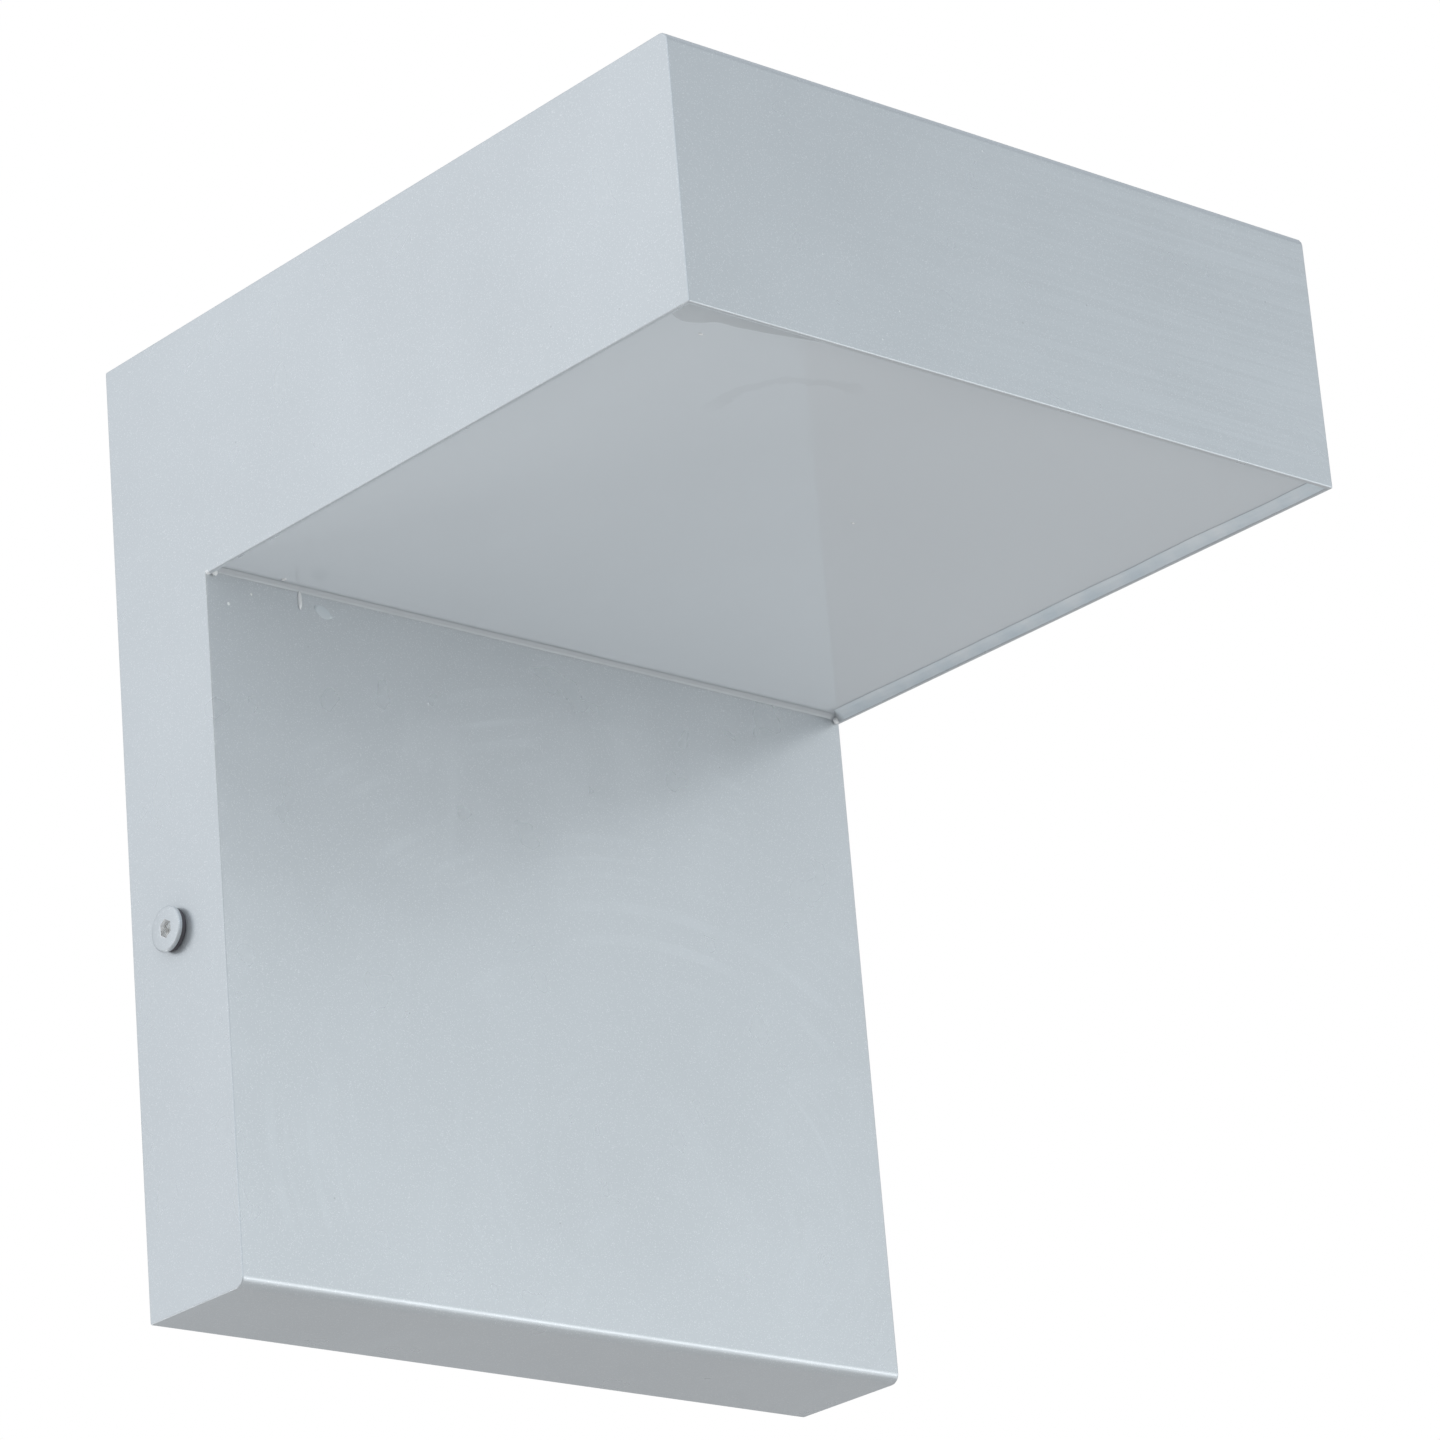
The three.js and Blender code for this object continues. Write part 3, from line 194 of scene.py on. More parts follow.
class Surface:
    """A Principled material, with short calls that add its nodes. Coordinates are in millimetres."""

    def __init__(self, name, roughness, **sockets):
        self.material = bpy.data.materials.new(name)
        self.material.use_nodes = True
        self.tree = self.material.node_tree
        self.shader = self.tree.nodes["Principled BSDF"]
        self.shader.inputs["Roughness"].default_value = roughness
        for socket, value in sockets.items():
            self.shader.inputs[socket.replace("_", " ")].default_value = value
        place = self.tree.nodes.new("ShaderNodeTexCoord").outputs["Object"]
        self.place = self.vector("SCALE", place, Scale=1 / MM)

    def join(self, socket, value):
        if isinstance(value, bpy.types.NodeSocket):
            self.tree.links.new(value, socket)
        else:
            socket.default_value = value

    def node(self, kind, settings, **values):
        node = self.tree.nodes.new(kind)
        for name, value in settings.items():
            setattr(node, name, value)
        for name, value in values.items():
            self.join(node.inputs[name], value)
        return node

    def vector(self, operation, first, second=None, **values):
        node = self.node("ShaderNodeVectorMath", {"operation": operation}, **values)
        self.join(node.inputs[0], first)
        if second is not None:
            self.join(node.inputs[1], second)
        return node.outputs["Value" if operation in ("LENGTH", "DISTANCE") else "Vector"]

    def math(self, operation, first, second=0.0):
        node = self.node("ShaderNodeMath", {"operation": operation})
        self.join(node.inputs[0], first)
        self.join(node.inputs[1], second)
        return node.outputs[0]

    def times(self, value, *others):
        for other in others:
            value = self.math("MULTIPLY", value, other)
        return value

    def noise(self, size, detail=2.0, stretch=(1, 1, 1), place=None, distortion=0.0):
        """Noise from 0 to 1 with features about size millimetres across, longer by stretch."""
        scaled = self.vector("DIVIDE", place or self.place, [size * s for s in stretch])
        values = {"Vector": scaled, "Scale": 1.0, "Detail": detail, "Distortion": distortion}
        return self.node("ShaderNodeTexNoise", {}, **values).outputs["Fac"]

    def cells(self, size, output="Distance", place=None):
        scaled = self.vector("SCALE", place or self.place, Scale=1 / size)
        return self.node("ShaderNodeTexVoronoi", {}, Vector=scaled, Scale=1.0).outputs[output]

    def between(self, value, start, end, low=0.0, high=1.0, smooth=False):
        """value's run from start to end as low to high, held at both ends."""
        values = {"Value": value, "From Min": start, "From Max": end, "To Min": low, "To Max": high}
        kind = {"interpolation_type": "SMOOTHSTEP" if smooth else "LINEAR"}
        return self.node("ShaderNodeMapRange", kind, **values).outputs["Result"]

    def mix(self, share, first, second):
        """A colour that is first where share is 0 and second where it is 1."""
        node = self.node("ShaderNodeMix", {"data_type": "RGBA"})
        self.join(node.inputs[0], share)
        for socket, colour in ((node.inputs[6], first), (node.inputs[7], second)):
            self.join(socket, colour if isinstance(colour, bpy.types.NodeSocket) else (*colour, 1))
        return node.outputs[2]

    def axis(self, name):
        return self.node("ShaderNodeSeparateXYZ", {}, Vector=self.place).outputs[name.upper()]

    def bump(self, height, depth, below=None):
        """Relief of height, from 0 to 1, times depth in millimetres, on top of another bump."""
        values = {"Height": height, "Distance": depth * MM, "Strength": 1.0}
        if below is not None:
            values["Normal"] = below
        return self.node("ShaderNodeBump", {}, **values).outputs["Normal"]

    def finish(self, colour, roughness=None, normal=None):
        self.join(self.shader.inputs["Base Color"], colour)
        if roughness is not None:
            self.join(self.shader.inputs["Roughness"], roughness)
        if normal is not None:
            self.join(self.shader.inputs["Normal"], normal)
        return self.material


def shaded(colour, amount):
    return [min(1.0, c * amount) for c in colour]


def flakes(s):
    """How much of each spot is a bright metallic flake."""
    cell = s.vector("FLOOR", s.vector("SCALE", s.place, Scale=1 / FLAKE_SIZE))
    chance = s.node("ShaderNodeTexWhiteNoise", {}, Vector=cell).outputs["Value"]
    return s.between(chance, 1 - FLAKE_SHARE, 1.0)


def grinding_streaks(s):
    """Streaks of the sheet's grinding, which show through towards the right of the head's front."""
    front = CASING_LOW.y / MM
    lines = s.between(s.noise(1.6, detail=4, stretch=(30, 30, 0.55)), 0.42, 0.62)
    on_front = s.between(s.axis("y"), front + 8.5, front + 2.5)
    to_right = s.between(s.axis("x"), -60, 60)
    return s.times(lines, on_front, to_right)


def wipe_marks(s):
    """Arcs and smudges that a cloth left on the leg's front."""
    cheek = CASING_HIGH.x / MM
    head = HEAD_UNDERSIDE / MM
    from_centre = s.vector("SUBTRACT", s.place, WIPE_CENTRE)
    reach = s.vector("LENGTH", s.vector("MULTIPLY", from_centre, WIPE_STRETCH))
    rings = s.node("ShaderNodeTexNoise", {"noise_dimensions": "1D"}, W=s.times(reach, WIPE_RINGS),
                   Scale=1.0, Detail=5.0).outputs["Fac"]
    patches = s.between(s.noise(26, detail=3), 0.5, 0.68)
    off_cheeks = s.between(s.math("ABSOLUTE", s.axis("x")), cheek - 0.5, cheek - 1.5)
    below_head = s.between(s.axis("z"), head - 4, head - 16)
    on_leg = s.times(off_cheeks, below_head)
    arcs = s.times(s.between(rings, 0.5, 0.62), patches, on_leg)
    smudges = s.between(s.noise(16, detail=4, stretch=(1, 1, 1.8), distortion=1.2), 0.55, 0.7)
    return s.math("MAXIMUM", arcs, s.times(smudges, on_leg, 0.45))


def powder_coat():
    """Silver-grey powder coat: fine metallic flakes, orange peel, wipe marks, grinding streaks, and pits
    drawn as darker spots of painted shade.
    """
    s = Surface("silver_powder_coat", 0.29, Metallic=0.58, Coat_Weight=0.3, Coat_Roughness=0.15)
    clouds = s.between(s.noise(45, detail=3), 0.3, 0.7)
    base = s.mix(clouds, shaded(PAINT, 0.975), shaded(PAINT, 1.02))
    base = s.mix(s.times(flakes(s), 0.6), base, FLAKE_COLOUR)
    base = s.mix(s.times(grinding_streaks(s), 0.4), base, shaded(PAINT, 1.12))
    wiped = wipe_marks(s)
    base = s.mix(s.times(wiped, 0.36), base, shaded(PAINT, 1.14))
    nibs = s.between(s.cells(9.0), 0.028, 0.012)
    base = s.mix(s.times(nibs, 0.8), base, DUST_COLOUR)
    # Pits have no relief here, only darker spots: their darkening is painted shade in the pits
    pit_shade = s.between(s.cells(13.0, place=s.vector("ADD", s.place, PIT_OFFSET)), 0.020, 0.010)
    base = s.mix(s.times(pit_shade, 0.5), base, shaded(PAINT, 0.6))
    rough = s.math("ADD", s.between(s.noise(12), 0.3, 0.7, 0.27, 0.32), s.times(wiped, 0.06))
    peel = s.bump(s.noise(0.9, detail=2), PEEL_DEPTH)
    grain = s.bump(s.noise(0.18, detail=1), GRAIN_DEPTH, below=peel)
    return s.finish(base, rough, s.bump(nibs, NIB_HEIGHT, below=grain))


def panel_arc(s):
    """A ragged part of a ring that a cloth left on the panel."""
    centre_x, centre_y, _ = PANEL_ARC_CENTRE
    from_centre = s.vector("MULTIPLY", s.vector("SUBTRACT", s.place, PANEL_ARC_CENTRE), (1, 1, 0))
    ragged = s.times(s.math("SUBTRACT", s.noise(5, detail=4), 0.5), PANEL_ARC_UNEVENNESS)
    reach = s.math("ADD", s.vector("LENGTH", from_centre), ragged)
    off_line = s.math("ABSOLUTE", s.math("SUBTRACT", reach, PANEL_ARC_RADIUS))
    in_front = s.between(s.axis("y"), centre_y + 7, centre_y + 1)
    to_left = s.between(s.axis("x"), centre_x + 6, centre_x + 1)
    return s.times(s.between(off_line, 2.1, 1.2), in_front, to_left)


def opal():
    """Glossy opal acrylic with a faint wiped arc and a little dust."""
    s = Surface("opal_acrylic", 0.06, IOR=1.58)
    clouds = s.between(s.noise(60, detail=1), 0.3, 0.7)
    base = s.mix(clouds, shaded(OPAL, 0.985), shaded(OPAL, 1.015))
    specks = s.between(s.cells(14.0), 0.016, 0.008)
    base = s.mix(s.times(specks, 0.7), base, (0.85, 0.86, 0.87))
    wiped = panel_arc(s)
    base = s.mix(wiped, base, shaded(OPAL, 0.95))
    film = s.between(s.noise(22, detail=3, distortion=0.6), 0.52, 0.66)
    rough = s.math("ADD", s.math("ADD", 0.05, s.times(film, 0.05)), s.times(wiped, 0.05))
    return s.finish(base, rough, s.bump(s.noise(30, detail=1), 0.02))


def silicone():
    """Milky blue-white sealant with a wet-looking skin, thinner and greyer along the leg."""
    s = Surface("clear_sealant", 0.10, IOR=1.42, Coat_Weight=1.0, Coat_Roughness=0.05)
    base = s.mix(s.between(s.noise(6.0), 0.35, 0.7), (0.80, 0.88, 0.93), (0.90, 0.95, 0.98))
    leg = LEG_FRONT / MM
    at_leg = s.between(s.axis("y"), leg - 3, leg - 1.5)
    base = s.mix(at_leg, base, (0.57, 0.60, 0.62))
    return s.finish(base, s.between(s.noise(4), 0.3, 0.7, 0.06, 0.16), s.bump(s.noise(3.5), 0.02))


def plated(name, colour, spangle, tint, roughness):
    """Plated or milled metal with grain of that size in millimetres, and fine drawing lines."""
    s = Surface(name, roughness, Metallic=1.0)
    grains = s.node("ShaderNodeSeparateColor", {}, Color=s.cells(spangle, output="Color")).outputs[0]
    base = s.mix(grains, shaded(colour, 0.93), colour)
    base = s.mix(s.between(s.noise(9, detail=3), 0.45, 0.75, 0, 0.5), base, tint)
    lines = s.noise(0.25, detail=3, stretch=(24, 24, 1))
    rough = s.between(lines, 0.3, 0.7, roughness - 0.06, roughness + 0.08)
    return s.finish(base, rough, s.bump(lines, 0.004))


def moulded(name, colour, roughness, grain=0.5, depth=0.01, **sockets):
    """Moulded plastic or rubber: a fine texture and slight changes of shade."""
    s = Surface(name, roughness, **sockets)
    base = s.mix(s.between(s.noise(14, detail=3), 0.3, 0.7), shaded(colour, 0.92), shaded(colour, 1.06))
    rough = s.between(s.noise(4, detail=3), 0.3, 0.7, roughness - 0.05, roughness + 0.06)
    return s.finish(base, rough, s.bump(s.noise(grain, detail=2), depth))


def striped_sleeve():
    """Green insulation with a yellow stripe along it."""
    s = Surface("green_yellow_sleeve", 0.42)
    across = s.node("ShaderNodeAttribute", {"attribute_name": "across"}).outputs["Fac"]
    band = s.between(across, 0.25, 0.35)
    base = s.mix(band, (0.05, 0.22, 0.04), (0.75, 0.62, 0.03))
    return s.finish(base, s.between(s.noise(3), 0.3, 0.7, 0.36, 0.48), s.bump(s.noise(0.4), 0.004))


def pale_paper():
    """The ground: plain matt paper, almost even."""
    colour = (0.73, 0.70, 0.67)
    s = Surface("pale_paper", 0.8)
    return s.finish(s.mix(s.between(s.noise(400), 0.3, 0.7), shaded(colour, 0.99), shaded(colour, 1.01)))


MATERIALS = {
    "casing_paint": powder_coat(),
    "opal_panel": opal(),
    "clear_silicone": silicone(),
    "zinc_plate": plated("zinc_plating", (0.66, 0.67, 0.69), 1.8, (0.70, 0.68, 0.60), 0.34),
    "aluminium": plated("mill_aluminium", (0.74, 0.75, 0.76), 0.8, (0.68, 0.69, 0.71), 0.38),
    "tinned_copper": plated("tin_plating", (0.72, 0.71, 0.68), 0.6, (0.62, 0.58, 0.52), 0.35),
    "white_sheet": moulded("matt_white_paint", (0.80, 0.80, 0.79), 0.6, grain=0.7, depth=0.012),
    "board_white": moulded("white_solder_mask", (0.82, 0.82, 0.80), 0.35, grain=1.5, depth=0.006),
    "led_phosphor": moulded("yellow_phosphor", (0.82, 0.66, 0.12), 0.25, Coat_Weight=0.8),
    "black_rubber": moulded("black_rubber", (0.095, 0.088, 0.098), 0.6, grain=0.35, depth=0.015),
    "white_plastic": moulded("white_polycarbonate", (0.74, 0.74, 0.72), 0.42, grain=0.4),
    "natural_nylon": moulded("natural_nylon", (0.66, 0.63, 0.53), 0.45, grain=0.5),
    "brown_sleeve": moulded("brown_sleeve", (0.10, 0.035, 0.015), 0.4),
    "blue_sleeve": moulded("blue_sleeve", (0.02, 0.09, 0.36), 0.4),
    "green_sleeve": striped_sleeve(),
    "red_sleeve": moulded("red_sleeve", (0.48, 0.01, 0.01), 0.4),
    "black_sleeve": moulded("black_sleeve", (0.015, 0.015, 0.015), 0.4),
}
MATERIALS["screw_paint"] = MATERIALS["casing_paint"]
BARE_STEEL = plated("bare_steel", (0.86, 0.86, 0.86), 0.5, (0.78, 0.78, 0.76), 0.18)
DROPS = moulded("cured_drops", (0.93, 0.94, 0.94), 0.15, grain=1.0, depth=0.01, Coat_Weight=1.0)
HAZE = moulded("sealant_haze", (0.66, 0.71, 0.74), 0.30, grain=1.0, depth=0.01, Coat_Weight=0.5)
FILM = moulded("sealant_film", (0.60, 0.63, 0.65), 0.10, grain=2.5, depth=0.006)
SLOTS = {row["node"]: row["material_slot"] for row in frame["record"]["subparts"]}


# ---------------------------------------------------------------------------------------------------
# Pieces

def body_of(node):
    return frame["nodes"][node]["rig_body"]


def piece(name, mesh, node, smooth=35, material=None):
    """A piece that moves with the node's body and takes its finish, or another finish in that slot."""
    slot = SLOTS[node]
    mesh.materials.clear()
    mesh.materials.append(material or MATERIALS[slot])
    mesh.polygons.foreach_set("use_smooth", [True] * len(mesh.polygons))
    mesh.set_sharp_from_angle(angle=math.radians(smooth))
    thing = bpy.data.objects.new(name, mesh)
    bpy.context.scene.collection.objects.link(thing)
    flat = thing.modifiers.new("flat_faces", "WEIGHTED_NORMAL")
    flat.keep_sharp = True
    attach(thing, body_of(node))
    return thing


def mesh_of(bm, name):
    """bm as a mesh with its faces pointing out."""
    bmesh.ops.recalc_face_normals(bm, faces=bm.faces)
    mesh = bpy.data.meshes.new(name)
    bm.to_mesh(mesh)
    bm.free()
    return mesh


def whole_faces(node):
    """The node's solid, with the triangles of each flat face joined."""
    bm = bmesh.new()
    bm.from_mesh(frame["nodes"][node].data)
    bmesh.ops.remove_doubles(bm, verts=bm.verts, dist=0.002 * MM)
    bmesh.ops.dissolve_limit(bm, angle_limit=math.radians(0.5), verts=bm.verts, edges=bm.edges)
    return bm


def rounded_copy(node, rounding, segments=2, sharp=50):
    """The node's mesh with its outward edges rounded."""
    bm = whole_faces(node)
    edges = [e for e in bm.edges if e.is_manifold and e.calc_face_angle_signed() > math.radians(sharp)]
    bmesh.ops.bevel(bm, geom=edges, offset=rounding, offset_type="OFFSET", segments=segments,
                    profile=0.5, affect="EDGES", clamp_overlap=False)
    return mesh_of(bm, node)


def stitch(bm, rings, closed=False):
    """Joins rings of points, each in the same order, into a skin: a closed ring, or one with flat ends."""
    grid = [[bm.verts.new(point) for point in ring] for ring in rings]
    pairs = list(zip(grid, grid[1:])) + ([(grid[-1], grid[0])] if closed else [])
    for first, second in pairs:
        for i in range(len(first)):
            j = (i + 1) % len(first)
            bm.faces.new((first[i], first[j], second[j], second[i]))
    if not closed:
        bm.faces.new(grid[0])
        bm.faces.new(grid[-1])


def circle(radius, sides):
    steps = [math.tau * i / sides for i in range(sides)]
    return [(radius * math.cos(a), radius * math.sin(a)) for a in steps]


def wobble(value, size, seed):
    """Smooth noise from -1 to 1 along value, in metres, with features about size long."""
    return noise.noise(Vector((value / size, seed, 0.37 * seed)))


def blob(bm, centre, radii, seed, rings=12, sides=20):
    """An uneven drop of sealant."""
    points = []
    for i in range(1, rings):
        polar = math.pi * i / rings
        ring = []
        for x, y in circle(math.sin(polar), sides):
            unit = Vector((x, y, math.cos(polar)))
            swell = 1 + 0.22 * noise.noise(unit * 1.3 + Vector((seed, 0, 0)))
            ring.append(Vector(centre) + Vector([u * r * swell for u, r in zip(unit, radii)]))
        points.append(ring)
    stitch(bm, points)


# Casing ---------------------------------------------------------------------------------------------

def make_casing():
    casing = piece("casing_shell", rounded_copy("casing", EDGE_ROUNDING, 3), "casing")
    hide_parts("casing")


# Panel and sealant ------------------------------------------------------------------------------------

PANEL_EDGE = 0.25 * MM
BEAD_STEP = 0.6 * MM
BEAD_CORNER = 2.2 * MM
BEAD_SIZES = (  # millimetres along the panel and share of the recess: front, right, leg and left side
    (1.9, 0.86), (2.3, 0.94), (1.0, 0.56), (1.9, 0.84),
)
SMEAR_OUTLINE = (  # millimetres from the head's left side and how far it reaches from the head's front
    (0, 5.6), (2.5, 7.3), (5.8, 8.4), (8.7, 7.5), (11.2, 5.8), (15.6, 5.5), (20, 4.9), (25, 4.0), (30, 3.0),
    (34, 2.2),
)
BEAD_SKIN = 0.02 * MM  # what the sealant stands off the faces it sticks to
BEAD_FACE_POINTS = 8
SMEAR_STEPS = 80
SMEAR_THICKNESS = 0.07 * MM
SMEAR_SLOPE = 0.35 * MM
PATCH_STEPS = 12
PATCH_THICKNESS = 0.08 * MM


def make_panel():
    panel = piece("opal_panel", rounded_copy("diffuser_panel", PANEL_EDGE, 3), "diffuser_panel")
    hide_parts("diffuser_panel")


def bead_stations():
    """Places along the bead's line with their inward direction and size, easing round each corner."""
    low, high = BEAD_LOW, BEAD_HIGH
    corners = [(low.x, low.y), (high.x, low.y), (high.x, high.y), (low.x, high.y)]
    inward = [(0, 1), (-1, 0), (0, -1), (1, 0)]
    stations = []
    for i in range(4):
        start, end = Vector(corners[i]), Vector(corners[(i + 1) % 4])
        along = (end - start).normalized()
        length = (end - start).length
        count = round(length / BEAD_STEP)
        before, here, after = (Vector((*inward[k % 4], *BEAD_SIZES[k % 4])) for k in (i - 1, i, i + 1))
        for k in range(count):
            place = length * k / count
            from_start = max(0.0, 1 - place / BEAD_CORNER) / 2
            from_end = max(0.0, 1 - (length - place) / BEAD_CORNER) / 2
            blend = here * (1 - from_start - from_end) + before * from_start + after * from_end
            stations.append((i, place, start + along * place, blend))
    return stations


def make_bead():
    """A hand-laid bead of clear sealant: its width, its height and the hollow of its face wander."""
    bm = bmesh.new()
    recess = BEAD_HIGH.z - BEAD_LOW.z
    top = BEAD_HIGH.z - BEAD_SKIN
    rings = []
    for side, place, (x, y), (u, v, usual_width, usual_height) in bead_stations():
        run = place + 0.3 * side
        wander = 0.16 * wobble(run, 19 * MM, side + 1) + 0.04 * wobble(run, 5 * MM, side + 5)
        width = usual_width * (1 + wander) * MM
        height = recess * usual_height * (1 + 0.09 * wobble(run, 23 * MM, side + 9))
        fullness = 0.30 + 0.10 * wobble(run, 15 * MM, side + 17)
        face = []
        for k in range(BEAD_FACE_POINTS):
            t = k / (BEAD_FACE_POINTS - 1)
            across = 2 * t * (1 - t) * fullness + t * t
            down = (1 - t) ** 2 + 2 * t * (1 - t) * fullness
            face.append((across * width, down * height))
        section = [(0.0, 0.0)] + face
        rings.append([(x + a * u, y + a * v, top - d) for a, d in section])
    stitch(bm, rings, closed=True)
    bead = piece("sealant_bead", mesh_of(bm, "sealant_bead"), "silicone_bead", smooth=60)
    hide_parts("silicone_bead")


def smooth_line(points, share):
    """The height of a smooth line through points, at that share of its length."""
    start, end = points[0][0], points[-1][0]
    x = start + (end - start) * share
    for i in range(len(points) - 1):
        if x <= points[i + 1][0]:
            break
    (x1, y1), (x2, y2) = points[i], points[i + 1]
    x0, y0 = points[max(i - 1, 0)]
    x3, y3 = points[min(i + 2, len(points) - 1)]
    t = (x - x1) / (x2 - x1)
    slope1 = (y2 - y0) / (x2 - x0) * (x2 - x1)
    slope2 = (y3 - y1) / (x3 - x1) * (x2 - x1)
    height = (2 * t ** 3 - 3 * t ** 2 + 1) * y1 + (t ** 3 - 2 * t ** 2 + t) * slope1
    return x, height + (3 * t ** 2 - 2 * t ** 3) * y2 + (t ** 3 - t ** 2) * slope2


def make_drops():
    """Drops of sealant at the leg's upper corners, a run down the leg, and specks on leg and panel."""
    left, right = CASING_LOW.x, CASING_HIGH.x
    wall, under, panel = LEG_FRONT, HEAD_UNDERSIDE, PANEL_LOW.z
    drops = (  # place, and half sizes in millimetres
        # at the leg's upper corners: two on the left and one on the right
        ((left + 0.35 * MM, wall - 0.35 * MM, under + 0.35 * MM), (0.55, 0.55, 0.55)),
        ((left + 1.7 * MM, wall - 0.5 * MM, under + 0.5 * MM), (0.75, 0.5, 0.6)),
        ((right - 1.2 * MM, wall - 0.45 * MM, under + 0.5 * MM), (0.8, 0.5, 0.7)),
        # the run and two specks on the leg
        ((left + 22 * MM, wall - 0.10 * MM, under - 1.0 * MM), (0.45, 0.35, 1.9)),
        ((left + 10.5 * MM, wall, under - 2 * MM), (0.28, 0.2, 0.28)),
        ((left + 5 * MM, wall, under - 5 * MM), (0.3, 0.15, 0.35)),
        # three specks on the panel
        ((left + 13.2 * MM, CASING_LOW.y + 12 * MM, panel), (0.55, 0.35, 0.2)),
        ((left + 94 * MM, CASING_LOW.y + 62 * MM, panel), (0.35, 0.35, 0.2)),
        ((left + 17 * MM, wall - 2 * MM, panel), (0.5, 0.6, 0.25)),
    )
    bm = bmesh.new()
    for seed, (place, halves) in enumerate(drops):
        blob(bm, place, [half * MM for half in halves], seed + 3)
    piece("sealant_drops", mesh_of(bm, "sealant_drops"), "silicone_bead", smooth=80, material=DROPS)


def make_smear():
    """A thin film that was wiped along the head's front from the panel's left corner."""
    bm = bmesh.new()
    rings = []
    top = PANEL_LOW.z - 0.01 * MM
    bottom = top - SMEAR_THICKNESS
    for k in range(SMEAR_STEPS):
        along, reach = smooth_line(SMEAR_OUTLINE, k / (SMEAR_STEPS - 1))
        x = BEAD_LOW.x + 0.1 * MM + along * MM
        low, high = BEAD_LOW.y + 0.1 * MM, BEAD_LOW.y + reach * MM
        rings.append([(x, low, top), (x, high, top), (x, high - SMEAR_SLOPE, bottom), (x, low, bottom)])
    stitch(bm, rings)
    piece("sealant_smear", mesh_of(bm, "sealant_smear"), "silicone_bead", smooth=60, material=FILM)


def make_patch():
    """A dab of sealant that a finger left on the leg, just below the head."""
    bm = bmesh.new()
    rings = []
    back = LEG_FRONT - 0.01 * MM
    front = back - PATCH_THICKNESS
    for k in range(PATCH_STEPS):
        t = k / (PATCH_STEPS - 1)
        swell = math.sin(math.pi * min(1, t * 1.05)) ** 0.6
        half = (0.25 + 0.95 * swell + 0.15 * wobble(t * MM, 0.3 * MM, 4)) * MM
        worn = 0.85 * half
        x = CASING_LOW.x + (25.5 + 4.2 * t) * MM
        z = HEAD_UNDERSIDE - (1.6 + 1.2 * t) * MM
        corners = ((back, z - half), (back, z + half), (front, z + worn), (front, z - worn))
        rings.append([(x, *corner) for corner in corners])
    stitch(bm, rings)
    piece("sealant_patch", mesh_of(bm, "sealant_patch"), "silicone_bead", smooth=60, material=HAZE)


# Side screws and washers --------------------------------------------------------------------------------

SCREW_SIDES = 96
SOCKET_HALF = 1.5 * MM  # half of the hexagon's width across flats
SOCKET_DEPTH = 2.0 * MM
SOCKET_CHAMFER = 0.16 * MM
HEAD_ROUNDING = 0.4 * MM
HEAD_CHAMFER = 0.1 * MM  # under the head
SHANK_RADIUS = 2.5 * MM
THREAD_START = 0.6 * MM  # below the head, where the thread begins to deepen
THREAD_PITCH = 0.8 * MM
THREAD_DEPTH = 0.45 * MM
THREAD_STEPS = 10  # rings of points in one pitch
POINT_CHAMFER = 0.5 * MM
WASHER_BORE_RADIUS = 2.6 * MM
WASHER_BULGE = 0.25 * MM


def hexagon(half, sides):
    """Points at even angles round a hexagon that has two of its corners up and down."""
    points = []
    for i in range(sides):
        angle = math.tau * i / sides
        from_flat = (angle + math.pi / 6) % (math.pi / 3) - math.pi / 6
        reach = half / math.cos(from_flat)
        points.append((reach * math.cos(angle), reach * math.sin(angle)))
    return points


